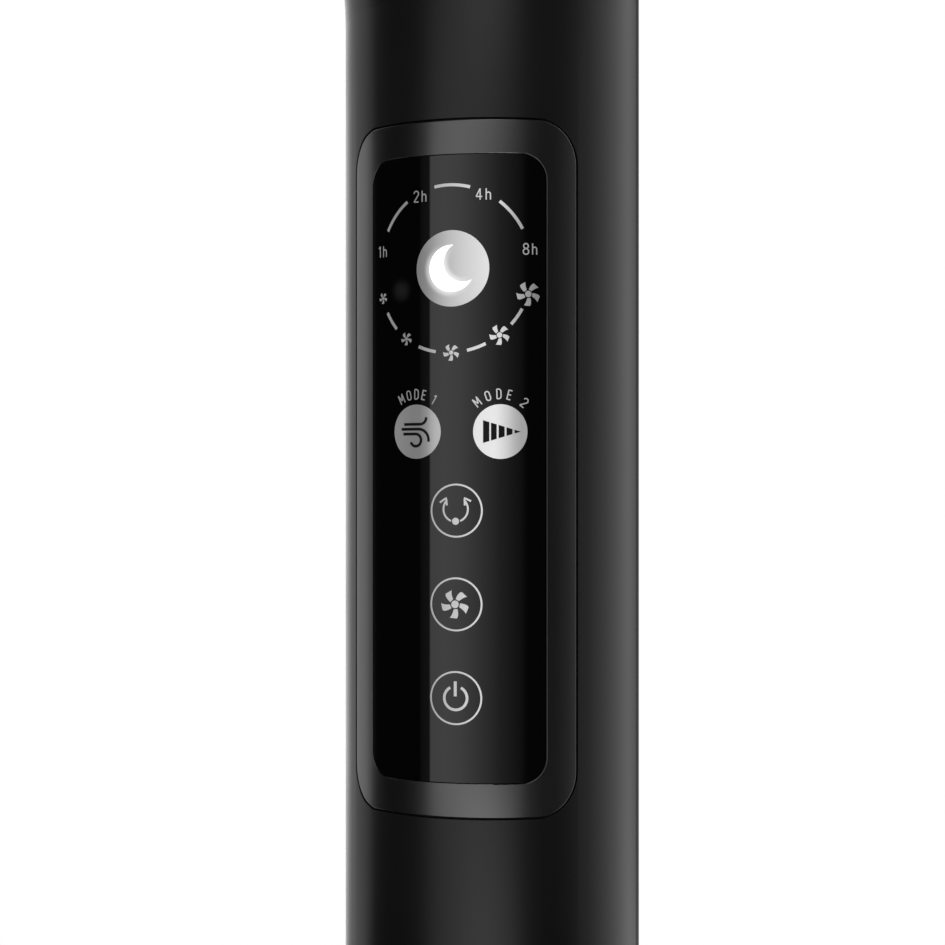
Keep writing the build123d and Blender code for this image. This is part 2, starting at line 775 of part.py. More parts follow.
root_radius = inner_radius + boss_root
front_root = front_solid(root_radius, joint_z)
with BuildPart() as front_shell:
    add(front_solid(column_radius, joint_z))
    add(front_solid(inner_radius, joint_z), mode=Mode.SUBTRACT)
    with BuildSketch(panel_plane):
        add(wrapped_outline(bezel_width + 2 * panel_gap, bezel_height + 2 * panel_gap,
                            bezel_corner + panel_gap))
    extrude(amount=column_radius + 1, mode=Mode.SUBTRACT)
    window_low, window_high = panel_z - bezel_height / 2 - 1, panel_z + bezel_height / 2 + 1
    window_rim = front_shell.edges().filter_by_position(Axis.Z, window_low, window_high)
    window_rim = window_rim.filter_by(lambda e: hypot((e @ 0.5).X, (e @ 0.5).Y) > column_radius - 0.01)
    fillet(window_rim.filter_by(lambda e: abs((e @ 0.5).X) < column_radius - 5), window_round)
    add(posts_along_y(facing_front(0), front_side_places, boss_radius, column_radius, front_root))
    add(posts_along_y(carrier_boss_plane, carrier_places, carrier_boss_radius, column_radius, front_root))
    add(wall_bosses(foot_screw_circle, front_feet, turntable_top, turntable_top + foot_boss_height,
                    front_root))
    add(wall_bosses(partition_screw_circle, front_supports, joint_z - partition_boss, joint_z, front_root))
    add(posts_along_y(facing_front(0), front_side_places, screw_radius, side_screw_length - head_well_y),
        mode=Mode.SUBTRACT)
    add(posts_along_y(carrier_boss_plane, carrier_places, screw_radius, carrier_hole_depth),
        mode=Mode.SUBTRACT)
    add(upright_holes(foot_screw_circle, front_feet, turntable_top, turntable_top + foot_hole_depth,
                      screw_radius), mode=Mode.SUBTRACT)
    add(upright_holes(partition_screw_circle, front_supports, joint_z - foot_hole_depth, joint_z,
                      screw_radius), mode=Mode.SUBTRACT)
    add(seam_cut(column_bottom, joint_z), mode=Mode.SUBTRACT)
finish(front_shell, "front_shell")

# Rear shell, the whole height, with the inlet window and the hand hole
inlet_width = 2 * column_radius * radians(55)
inlet_corner = 14.0
inlet_margin = 12.0
inlet_height = duct_height - 2 * inlet_margin
inlet_plane = facing_rear(0, duct_z + duct_height / 2)
handle_plane = facing_rear(0, upper_partition_z + plate_sheet + handle_zone / 2 + 0.5)
handle_width = 84.0
handle_height = 27.0
handle_corner = 13.0
handle_depth = 24.0
handle_wall = 2.0
handle_lap = 3.0
power_post_x = 20.0
power_post_z = (column_bottom + 72, column_bottom + 172)
power_post_radius = 3.5
power_board_y = 34.0
power_places = both_sides(power_post_x, power_post_z)
power_post_plane = facing_rear(power_board_y + board_thickness)
upper_boss_z = upper_partition_z + plate_sheet

with BuildPart() as rear_root:
    with BuildSketch(Plane.XY.offset(column_bottom)):
        add(rear_section(root_radius))
    extrude(amount=trim_z - column_bottom)

with BuildPart() as rear_shell:
    with BuildSketch(Plane.XY.offset(column_bottom)):
        add(rear_section(column_radius))
        add(rear_section(inner_radius), mode=Mode.SUBTRACT)
    extrude(amount=trim_z - column_bottom)
    add(posts_along_y(facing_rear(seam_gap), rear_side_places, boss_radius + 1, column_radius,
                      rear_root.part))
    add(posts_along_y(power_post_plane, power_places, power_post_radius, column_radius, rear_root.part))
    add(wall_bosses(foot_screw_circle, rear_feet, turntable_top, turntable_top + foot_boss_height,
                    rear_root.part))
    add(wall_bosses(partition_screw_circle, partition_angles, lower_partition_z - partition_boss,
                    lower_partition_z, rear_root.part))
    add(wall_bosses(partition_screw_circle, partition_angles, upper_boss_z, upper_boss_z + partition_boss,
                    rear_root.part))
    with BuildSketch(inlet_plane):
        add(wrapped_outline(inlet_width + 2 * seam_gap, inlet_height + 2 * seam_gap, inlet_corner + seam_gap))
    extrude(amount=column_radius + 1, mode=Mode.SUBTRACT)
    with BuildSketch(handle_plane):
        add(wrapped_outline(handle_width, handle_height, handle_corner))
    extrude(amount=column_radius + 1, mode=Mode.SUBTRACT)
    add(posts_along_y(facing_rear(0), rear_side_places, screw_hole_radius, column_radius), mode=Mode.SUBTRACT)
    add(posts_along_y(facing_rear(head_well_y), rear_side_places, head_pocket_radius, column_radius),
        mode=Mode.SUBTRACT)
    add(posts_along_y(power_post_plane, power_places, screw_radius, foot_hole_depth), mode=Mode.SUBTRACT)
    add(upright_holes(foot_screw_circle, rear_feet, turntable_top, turntable_top + foot_hole_depth,
                      screw_radius), mode=Mode.SUBTRACT)
    add(upright_holes(partition_screw_circle, partition_angles, lower_partition_z - foot_hole_depth,
                      lower_partition_z, screw_radius), mode=Mode.SUBTRACT)
    add(upright_holes(partition_screw_circle, partition_angles, upper_boss_z, upper_boss_z + foot_hole_depth,
                      screw_radius), mode=Mode.SUBTRACT)
    add(seam_cut(column_bottom, trim_z), mode=Mode.SUBTRACT)
finish(rear_shell, "rear_shell")

shell_places = [(x, head_well_y, z) for x, z in rear_side_places]
screws("shell_screws", side_screw_length, [forward(*p) for p in shell_places])

# Inlet grille: level slots with round ends, in bays parted by fine grooves, with upright ribs
# behind and a flange inside the shell
slat_pitch = 7.2
slat_slot = 4.0
slat_border = 6.0
slats_per_bay = 14
bay_groove = 0.8
bay_groove_depth = 0.4
inlet_lap = 4.0
inlet_flange = 2.0
inlet_skin = shell_wall - 0.4
inlet_rib_pitch = 14.0
inlet_rib_width = 1.8
inlet_rib_count = 5
inlet_rib_depth = 4.0
inlet_rib_bite = 0.4

bay_pitch = slats_per_bay * slat_pitch
bay_count = int((inlet_height - 2 * inlet_corner) / bay_pitch)
slot_reach = column_radius * sin((inlet_width / 2 - slat_border) / column_radius)
with BuildPart() as inlet_ribs:
    with BuildSketch(inlet_plane):
        with GridLocations(inlet_rib_pitch, 0, inlet_rib_count, 1):
            Rectangle(inlet_rib_width, inlet_height)
    extrude(amount=column_radius)
    with BuildSketch(Plane.XY):
        Circle(inner_radius + inlet_rib_bite)
        Circle(inner_radius - inlet_rib_depth, mode=Mode.SUBTRACT)
    extrude(amount=top_z, mode=Mode.INTERSECT)

with BuildPart() as bay_grooves:
    with BuildSketch(inlet_plane):
        with GridLocations(0, bay_pitch, 1, bay_count + 1):
            Rectangle(3 * column_radius, bay_groove)
    extrude(amount=2 * column_radius)
    with BuildSketch(Plane.XY):
        Circle(inner_radius + inlet_skin - bay_groove_depth)
    extrude(amount=top_z, mode=Mode.SUBTRACT)

with BuildPart() as inlet_grille:
    add(curved_plate(inlet_plane, wrapped_outline(inlet_width, inlet_height, inlet_corner),
                     inner_radius + inlet_skin, inner_radius))
    add(curved_plate(inlet_plane, wrapped_outline(inlet_width + 2 * inlet_lap, inlet_height + 2 * inlet_lap,
                                                  inlet_corner + inlet_lap),
                     inner_radius, inner_radius - inlet_flange))
    with BuildSketch(inlet_plane):
        with GridLocations(0, slat_pitch, 1, bay_count * slats_per_bay):
            SlotOverall(2 * slot_reach, slat_slot)
    extrude(amount=column_radius, mode=Mode.SUBTRACT)
    add(bay_grooves.part, mode=Mode.SUBTRACT)
    add(inlet_ribs.part)
finish(inlet_grille, "inlet_grille")

# Foam sheet that keeps dust out, curved to lie against the inner edges of the upright ribs
filter_thickness = 2.0
filter_side_lap = 1.1
filter_end_gap = 6.0
filter_corner = 6.0
filter_reach = inlet_rib_pitch * (inlet_rib_count - 1) / 2 + inlet_rib_width / 2 + filter_side_lap
filter_width = 2 * column_radius * asin(filter_reach / column_radius)
filter_radius = inner_radius - inlet_rib_depth - running_gap
with BuildPart() as dust_filter:
    filter_outline = wrapped_outline(filter_width, inlet_height - 2 * filter_end_gap, filter_corner)
    add(curved_plate(inlet_plane, filter_outline, filter_radius, filter_radius - filter_thickness))
finish(dust_filter, "dust_filter")

# Hand recess at the rear, under the cap
handle_roll = 2.0
with BuildPart() as handle_cup:
    handle_flange = wrapped_outline(handle_width + 2 * handle_lap, handle_height + 2 * handle_lap,
                                    handle_corner + handle_lap)
    add(curved_plate(handle_plane, handle_flange, inner_radius, inner_radius - handle_wall))
    with BuildSketch(handle_plane.offset(column_radius - handle_depth - handle_wall)):
        add(wrapped_outline(handle_width + 2 * handle_wall, handle_height + 2 * handle_wall,
                            handle_corner + handle_wall))
    extrude(amount=column_radius)
    with BuildSketch(Plane.XY):
        Circle(inner_radius)
    extrude(amount=top_z, mode=Mode.INTERSECT)
    with BuildSketch(handle_plane.offset(column_radius - handle_depth)):
        add(wrapped_outline(handle_width, handle_height, handle_corner))
    extrude(amount=column_radius, mode=Mode.SUBTRACT)
    # finger roll along the lower edge
    with BuildSketch(handle_plane.offset(column_radius - handle_depth)):
        with Locations((0, -handle_height / 2)):
            Rectangle(handle_width / 2, handle_roll, align=(Align.CENTER, Align.MIN))
    extrude(amount=handle_roll)
finish(handle_cup, "handle_cup")

# ================================================================ control panel
board_y = 36.0
board_half_width = 31.5
board_half_height = 104.0
board_post_x = 27.0
board_post_z = (-96, 0, 96)
board_hole_depth = 9.0
board_post_radius = 3.5
board_corner = 2.0
carrier_lap = 3.0
carrier_ear = 2.2
carrier_ear_size = (16.0, 9.0)
carrier_web_size = (3.0, 9.0)
carrier_ear_inset = 4.0
carrier_web_inset = 9.5
pad_clearance = 1.0
processor_size = (12.0, 12.0, 1.6)
processor_drop = 30.0
plug_size = (22.0, 6.0, 8.0)
plug_drop = 80.0
panel_screw_length = 6.5
carrier_inner = inner_radius - 2.5
dial_rise = 69.6
light_box_radius = 32.5
touch_rise = (-14.6, -47.2, -79.8)
touch_offset = 2.1
touch_pad_radius = 5.0
ring_angles = (165, 113, 65, 13, -18, -53, -89, -125, -162)
light_ring_radius = 27.4
light_pocket_radius = 3.4
mode_spots = ((-13.0, 12.9), (17.5, 12.9))
receiver_spot = (-19.0, 62.8)
receiver_size = (4.4, 4.0, 9.0)
receiver_dome = (1.9, 1.4)
light_box_bore = 12.0
led_size = (3.0, 1.6, 1.2)
led_pitch = 7.0


def inside_lens(point):
    """Whether a point of the bezel's face is nearer the lens than the outer edge."""
    border = bezel_border / 2
    along = column_radius * abs(asin(point.X / column_radius))
    return along < lens_width / 2 + border and abs(point.Z - panel_z) < lens_height / 2 + border


with BuildPart() as control_bezel:
    add(curved_plate(panel_plane, wrapped_outline(bezel_width, bezel_height, bezel_corner),
                     column_radius, inner_radius))
    with BuildSketch(panel_plane):
        add(wrapped_outline(lens_width, lens_height, lens_corner))
    extrude(amount=column_radius, mode=Mode.SUBTRACT)
    rims = ShapeList(round_face_edges(control_bezel, column_radius))
    outer_rim = [edge for edge in rims if not inside_lens(edge @ 0.5)]
    fillet(outer_rim, bezel_round)
    fillet([edge for edge in rims if inside_lens(edge @ 0.5)], lens_round)
finish(control_bezel, "control_bezel")

lens_outline = wrapped_outline(lens_width - 2 * lens_gap, lens_height - 2 * lens_gap, lens_corner - lens_gap)
with BuildPart() as touch_lens:
    add(curved_plate(panel_plane, lens_outline, column_radius - lens_recess, inner_radius))
finish(touch_lens, "touch_lens")

board_places = both_sides(board_post_x, board_post_z)
with BuildPart() as carrier_supports:
    with BuildSketch(panel_plane.offset(board_y)):
        with Locations(*board_places):
            Circle(board_post_radius)
    extrude(amount=column_radius)
    # ears that meet the front shell's bosses, each on a web
    with BuildSketch(panel_plane.offset(carrier_ear_y - carrier_ear)):
        with Locations(*both_sides(carrier_screw_x - carrier_ear_inset, carrier_screw_z)):
            Rectangle(*carrier_ear_size)
    extrude(amount=carrier_ear)
    with BuildSketch(panel_plane.offset(carrier_ear_y - carrier_ear)):
        with Locations(*both_sides(carrier_screw_x - carrier_web_inset, carrier_screw_z)):
            Rectangle(*carrier_web_size)
    extrude(amount=column_radius)
    with BuildSketch(Plane.XY):
        Circle(fit_radius)
    extrude(amount=top_z, mode=Mode.INTERSECT)

carrier_outline = wrapped_outline(bezel_width + 2 * carrier_lap, bezel_height + 2 * carrier_lap,
                                  bezel_corner + carrier_lap)
with BuildPart() as panel_carrier:
    add(curved_plate(panel_plane, carrier_outline, inner_radius, carrier_inner))
    add(carrier_supports.part)
    with BuildSketch(panel_plane):
        with Locations((0, dial_rise)):
            Circle(light_box_radius + seam_gap)
        for z in touch_rise:
            with Locations((touch_offset, z)):
                Circle(touch_pad_radius + pad_clearance)
        for x, z in mode_spots:
            with Locations((x, z)):
                Circle(touch_pad_radius + pad_clearance)
    extrude(amount=column_radius, mode=Mode.SUBTRACT)
    add(posts_along_y(panel_plane.offset(board_y), board_places, screw_radius, board_hole_depth),
        mode=Mode.SUBTRACT)
    add(posts_along_y(panel_plane, carrier_places, screw_hole_radius, carrier_ear_y), mode=Mode.SUBTRACT)
    add(posts_along_y(carrier_boss_plane, carrier_places, carrier_boss_radius + seam_gap, column_radius),
        mode=Mode.SUBTRACT)
    add(posts_along_y(facing_front(0), front_side_places, boss_radius + seam_gap, column_radius),
        mode=Mode.SUBTRACT)
finish(panel_carrier, "panel_carrier")

with BuildPart() as control_board:
    with BuildSketch(panel_plane.offset(board_y - board_thickness)):
        RectangleRounded(2 * board_half_width, 2 * board_half_height, board_corner)
        with Locations(*board_places):
            Circle(screw_hole_radius, mode=Mode.SUBTRACT)
    extrude(amount=board_thickness)
    # processor and plug on the back
    with BuildSketch(panel_plane.offset(board_y - board_thickness)):
        with Locations((0, -processor_drop)):
            Rectangle(*processor_size[:2])
    extrude(amount=-processor_size[2])
    with BuildSketch(panel_plane.offset(board_y - board_thickness)):
        with Locations((0, -plug_drop)):
            Rectangle(*plug_size[:2])
    extrude(amount=-plug_size[2])
finish(control_board, "control_board")

panel_screw_places = [forward(x, board_thickness - board_y, panel_z + z) for x, z in board_places]
panel_screw_places += [forward(x, carrier_ear - carrier_ear_y, panel_z + z) for x, z in carrier_places]
screws("panel_screws", panel_screw_length, panel_screw_places)

with BuildPart() as led_light_box:
    with BuildSketch(panel_plane.offset(board_y)):
        with Locations((0, dial_rise)):
            Circle(light_box_radius)
            Circle(light_box_bore, mode=Mode.SUBTRACT)
            for angle in ring_angles:
                with Locations(polar(light_ring_radius, angle)):
                    Circle(light_pocket_radius, mode=Mode.SUBTRACT)
        with Locations(receiver_spot):
            Circle(light_pocket_radius, mode=Mode.SUBTRACT)
    extrude(amount=column_radius)
    with BuildSketch(Plane.XY):
        Circle(inner_radius)
    extrude(amount=top_z, mode=Mode.INTERSECT)
finish(led_light_box, "led_light_box")

with BuildPart() as indicator_leds:
    with BuildSketch(panel_plane.offset(board_y)):
        with Locations((0, dial_rise)):
            with GridLocations(led_pitch, led_pitch, 2, 2):
                Rectangle(*led_size[:2])
            for angle in ring_angles:
                with Locations(polar(light_ring_radius, angle)):
                    Rectangle(*led_size[:2])
        for x, z in mode_spots:
            with Locations((x, z)):
                Rectangle(*led_size[:2])
    extrude(amount=led_size[2])
finish(indicator_leds, "indicator_leds")

with BuildPart() as ir_receiver:
    with BuildSketch(panel_plane.offset(board_y)):
        with Locations(receiver_spot):
            Rectangle(*receiver_size[:2])
    extrude(amount=receiver_size[2])
    with BuildSketch(panel_plane.offset(board_y + receiver_size[2])):
        with Locations(receiver_spot):
            Circle(receiver_dome[0])
    extrude(amount=receiver_dome[1])
finish(ir_receiver, "ir_receiver")

with BuildPart() as touch_pads:
    with BuildSketch(panel_plane.offset(board_y)):
        for z in touch_rise:
            with Locations((touch_offset, z)):
                Circle(touch_pad_radius)
    extrude(amount=column_radius)
    with BuildSketch(Plane.XY):
        Circle(inner_radius)
    extrude(amount=top_z, mode=Mode.INTERSECT)
finish(touch_pads, "touch_pads")

# ================================================================ power supply
power_middle = (power_post_z[0] + power_post_z[1]) / 2
power_plane = facing_front(power_board_y, power_middle)
power_post_rise = power_post_z[1] - power_post_z[0]
power_board_margin = 10.0
fin_size = (1.5, 34.0, 14.0)
fin_x = -18.0
capacitor_place = (6.0, 36.0)
capacitor_radius = 7.5
capacitor_length = 24.0
capacitor_round = 0.8
transformer_place = (2.0, 0.0)
transformer_foot = (26.0, 24.0, 4.0)
transformer_core = (28.0, 12.0, 14.0)
transformer_coil = (18.0, 22.0, 12.0)
coil_corner = 3.0
terminal_place = (0.0, -38.0)
terminal_size = (24.0, 10.0, 12.0)
terminal_hole_radius = 2.4
terminal_hole_depth = 3.0
terminal_count = 3
terminal_pitch = 7.0
with BuildPart() as power_board:
    with BuildSketch(power_plane):
        RectangleRounded(2 * power_post_x + power_board_margin, power_post_rise + power_board_margin,
                         board_corner)
        with GridLocations(2 * power_post_x, power_post_rise, 2, 2):
            Circle(screw_hole_radius, mode=Mode.SUBTRACT)
    extrude(amount=-board_thickness)
    # driver chip's cooling fin
    with BuildSketch(power_plane):
        with Locations((fin_x, 0)):
            Rectangle(*fin_size[:2])
    extrude(amount=fin_size[2])
finish(power_board, "power_board")

screws("power_screws", board_thickness + 6, [backward(x, power_board_y, z) for x, z in power_places])

with BuildPart() as mains_capacitor:
    with BuildSketch(power_plane):
        with Locations(capacitor_place):
            Circle(capacitor_radius)
    extrude(amount=capacitor_length)
    fillet(mains_capacitor.edges().filter_by(GeomType.CIRCLE).sort_by(Axis.Y)[0], capacitor_round)
finish(mains_capacitor, "mains_capacitor")

with BuildPart() as transformer:
    with BuildSketch(power_plane):
        with Locations(transformer_place):
            Rectangle(*transformer_foot[:2])
    extrude(amount=transformer_foot[2])
    with BuildSketch(power_plane.offset(transformer_foot[2])):
        with Locations(transformer_place):
            Rectangle(*transformer_core[:2])
    extrude(amount=transformer_core[2])
    with BuildSketch(power_plane.offset(transformer_foot[2])):
        with Locations(transformer_place):
            RectangleRounded(*transformer_coil[:2], coil_corner)
    extrude(amount=transformer_coil[2])
finish(transformer, "transformer")

with BuildPart() as terminal_block:
    with BuildSketch(power_plane):
        with Locations(terminal_place):
            Rectangle(*terminal_size[:2])
    extrude(amount=terminal_size[2])
    with BuildSketch(power_plane.offset(terminal_size[2])):
        with Locations(terminal_place):
            with GridLocations(terminal_pitch, 0, terminal_count, 1):
                Circle(terminal_hole_radius)
    extrude(amount=-terminal_hole_depth, mode=Mode.SUBTRACT)
finish(terminal_block, "terminal_block")

# ================================================================ duct and motor
wheel_centre = (0, wheel_offset)
motor_top = lower_partition_z - 3.0
motor_bottom = motor_top - motor_height
ear_circle = motor_radius + 5.0
ear_angles = (20, 160, 270)
ear_radius = 4.5
ear_length = 8.0
bearing_radius = 8.0
bearing_height = 7.0
bearing_wall = 1.5
bearing_step = 2.0
cooling_circle = 20.0
cooling_holes = 8
cooling_radius = 2.5
can_round = 1.5
axle_radius = 3.0
partition_collar = 2.0
grille_screw_x = 24.0
grille_screw_y = 47.0
grille_boss = 8.0


def partition_plan():
    """Plan of the plates that close the duct's two ends."""
    with BuildSketch() as plan:
        add(duct_section(fit_radius, front_bulge))
        with Locations(wheel_centre):
            Circle(bearing_radius + partition_collar, mode=Mode.SUBTRACT)
        with Locations((grille_screw_x, -grille_screw_y), (-grille_screw_x, -grille_screw_y)):
            Circle(screw_hole_radius, mode=Mode.SUBTRACT)
        for angle in partition_angles:
            with Locations(polar(partition_screw_circle, angle)):
                Circle(screw_hole_radius, mode=Mode.SUBTRACT)
    return plan.sketch


with BuildPart() as lower_partition:
    with BuildSketch(Plane.XY.offset(lower_partition_z)):
        add(partition_plan())
        for angle in front_supports:
            with Locations(polar(partition_screw_circle, angle)):
                Circle(screw_hole_radius, mode=Mode.SUBTRACT)
        with Locations(wheel_centre):
            with Locations(*[polar(ear_circle, a) for a in ear_angles]):
                Circle(screw_radius, mode=Mode.SUBTRACT)
    extrude(amount=plate_sheet)
    # collars that reach the front shell's bosses
    with BuildSketch(Plane.XY.offset(joint_z)):
        for angle in front_supports:
            with Locations(polar(partition_screw_circle, angle)):
                Circle(boss_radius - 0.2)
                Circle(screw_hole_radius, mode=Mode.SUBTRACT)
    extrude(amount=lower_partition_z - joint_z)
finish(lower_partition, "lower_partition")

with BuildPart() as upper_partition:
    with BuildSketch(Plane.XY.offset(upper_partition_z)):
        add(partition_plan())
    extrude(amount=plate_sheet)
finish(upper_partition, "upper_partition")

duct_places = [down(*polar(partition_screw_circle, a), duct_z) for a in (*partition_angles, *front_supports)]
duct_places += [up(*polar(partition_screw_circle, a), upper_partition_z) for a in partition_angles]
duct_places += [up(s * grille_screw_x, -grille_screw_y, lower_partition_z) for s in (1, -1)]
duct_places += [down(s * grille_screw_x, -grille_screw_y, upper_partition_z + plate_sheet) for s in (1, -1)]
screws("partition_screws", plate_sheet + 6, duct_places)

with BuildPart() as motor_housing:
    with BuildSketch(Plane.XY.offset(motor_bottom)):
        with Locations(wheel_centre):
            Circle(motor_radius)
    extrude(amount=motor_height)
    fillet(motor_housing.edges().group_by(Axis.Z)[-1], can_round)
    with BuildSketch(Plane.XY.offset(motor_bottom)):
        with Locations(wheel_centre):
            Circle(motor_radius - motor_wall)
    extrude(amount=motor_height - motor_wall, mode=Mode.SUBTRACT)
    with BuildSketch(Plane.XY.offset(motor_top - motor_wall)):
        with Locations(wheel_centre):
            for angle in ear_angles:
                with Locations(Location((*polar(ear_circle, angle), 0), (0, 0, angle))):
                    Circle(ear_radius)
                    Rectangle(ear_length, 2 * ear_radius, align=(Align.MAX, Align.CENTER))
    extrude(amount=motor_wall)
    # bearing seat
    with BuildSketch(Plane.XY.offset(motor_top - bearing_step - bearing_height)):
        with Locations(wheel_centre):
            Circle(bearing_radius + bearing_wall)
    extrude(amount=bearing_height + bearing_step)
    with BuildSketch(Plane.XY.offset(motor_bottom)):
        with Locations(wheel_centre):
            Circle(bearing_radius)
    extrude(amount=motor_height - bearing_step, mode=Mode.SUBTRACT)
    with BuildSketch(Plane.XY.offset(motor_bottom)):
        with Locations(wheel_centre):
            Circle(shaft_radius + 1)
            with Locations(*[polar(ear_circle, a) for a in ear_angles]):
                Circle(screw_hole_radius)
            # cooling holes in the can's top
            with PolarLocations(cooling_circle, cooling_holes):
                Circle(cooling_radius)
    extrude(amount=motor_height, mode=Mode.SUBTRACT)
finish(motor_housing, "motor_housing")

with BuildPart() as motor_dampers:
    with BuildSketch(Plane.XY.offset(motor_top)):
        with Locations(wheel_centre):
            for angle in ear_angles:
                with Locations(polar(ear_circle, angle)):
                    Circle(ear_radius)
                    Circle(screw_hole_radius, mode=Mode.SUBTRACT)
    extrude(amount=lower_partition_z - motor_top)
finish(motor_dampers, "motor_dampers")

damper_height = lower_partition_z - motor_top
motor_screw_length = motor_wall + damper_height + plate_sheet - 0.4
motor_places = [up(wheel_centre[0] + x, wheel_centre[1] + y, motor_top - motor_wall)
                for x, y in [polar(ear_circle, a) for a in ear_angles]]
screws("motor_screws", motor_screw_length, motor_places)

end_cap_thickness = 2.5
end_cap_spigot = 1.5
with BuildPart() as motor_end_cap:
    with BuildSketch(Plane.XY.offset(motor_bottom - end_cap_thickness)):
        with Locations(wheel_centre):
            Circle(motor_radius)
    extrude(amount=end_cap_thickness)
    with BuildSketch(Plane.XY.offset(motor_bottom)):
        with Locations(wheel_centre):
            Circle(motor_radius - motor_wall)
            Circle(motor_radius - motor_wall - end_cap_spigot, mode=Mode.SUBTRACT)
            Circle(bearing_radius + bearing_wall)
    extrude(amount=bearing_height)
    with BuildSketch(Plane.XY.offset(motor_bottom)):
        with Locations(wheel_centre):
            Circle(bearing_radius)
    extrude(amount=bearing_height, mode=Mode.SUBTRACT)
    with BuildSketch(Plane.XY.offset(motor_bottom - end_cap_thickness)):
        with Locations(wheel_centre):
            with PolarLocations(cooling_circle, cooling_holes):
                Circle(cooling_radius + 0.5)
    extrude(amount=end_cap_thickness, mode=Mode.SUBTRACT)
finish(motor_end_cap, "motor_end_cap")

stator_low = motor_bottom + bearing_height + 3
stator_height = 20.0
stator_inner = 17.0
slot_count = 12
slot_radius = 2.4
slot_circle = 21.5
slot_mouth = (4.0, 1.2)
winding_radius = 25.0
winding_inset = 1.5
winding_height = 3.0
rotor_gap = 0.5
with BuildPart() as motor_stator:
    with BuildSketch(Plane.XY.offset(stator_low)):
        with Locations(wheel_centre):
            Circle(motor_radius - motor_wall)
            Circle(stator_inner, mode=Mode.SUBTRACT)
            with PolarLocations(slot_circle, slot_count):
                Circle(slot_radius, mode=Mode.SUBTRACT)
            with PolarLocations(stator_inner + 1, slot_count):
                Rectangle(*slot_mouth, mode=Mode.SUBTRACT)
    extrude(amount=stator_height)
    # end turns of the winding
    for z in (stator_low - winding_height, stator_low + stator_height):
        with BuildSketch(Plane.XY.offset(z)):
            with Locations(wheel_centre):
                Circle(winding_radius)
                Circle(stator_inner + winding_inset, mode=Mode.SUBTRACT)
        extrude(amount=winding_height)
finish(motor_stator, "motor_stator")

with BuildPart() as motor_bearings:
    for z in (motor_bottom, motor_top - bearing_step - bearing_height):
        with BuildSketch(Plane.XY.offset(z)):
            with Locations(wheel_centre):
                Circle(bearing_radius)
                Circle(shaft_radius + running_gap, mode=Mode.SUBTRACT)
        extrude(amount=bearing_height)
finish(motor_bearings, "motor_bearings")

with BuildPart() as motor_rotor:
    with BuildSketch(Plane.XY.offset(stator_low)):
        with Locations(wheel_centre):
            Circle(stator_inner - rotor_gap)
            Circle(shaft_radius, mode=Mode.SUBTRACT)
    extrude(amount=stator_height)
finish(motor_rotor, "motor_rotor")

# Scroll and tongue, from one partition to the other
scroll_gap = 3.5
scroll_angles = (140.0, 225.0)
scroll_end_radius = 57.8
duct_wall = 1.8
tongue_angle = -35.0


def scroll_point(share):
    """A point of the log spiral that winds out around the wheel."""
    start = wheel_radius + scroll_gap
    radius = start * exp(share * log(scroll_end_radius / start))
    x, y = polar(radius, scroll_angles[0] + share * (scroll_angles[1] - scroll_angles[0]))
    return (x + wheel_centre[0], y + wheel_centre[1])


with BuildPart() as scroll_wall:
    with BuildSketch(Plane.XY.offset(duct_z)):
        with BuildLine():
            Spline(*[scroll_point(k / 8) for k in range(9)])
            lead_x, lead_y = scroll_point(0)
            ThreePointArc((lead_x, lead_y), (lead_x - 5.0, lead_y + 4.6), (lead_x - 8.0, lead_y + 2.0))
        trace(line_width=duct_wall)
    extrude(amount=duct_height)
finish(scroll_wall, "scroll_wall")

tongue_x, tongue_y = polar(wheel_radius + 4.0, tongue_angle)
tongue_y += wheel_centre[1]
with BuildPart() as tongue_wall:
    with BuildSketch(Plane.XY.offset(duct_z)):
        with BuildLine():
            Polyline((42.0, -34.6), (tongue_x + 1.5, tongue_y - 2.5))
            ThreePointArc((tongue_x + 1.5, tongue_y - 2.5), (tongue_x - 0.2, tongue_y + 0.4),
                          (tongue_x + 2.6, tongue_y + 2.4))
            Polyline((tongue_x + 2.6, tongue_y + 2.4), (49.0, -9.0))
        trace(line_width=duct_wall)
    extrude(amount=duct_height)
finish(tongue_wall, "tongue_wall")

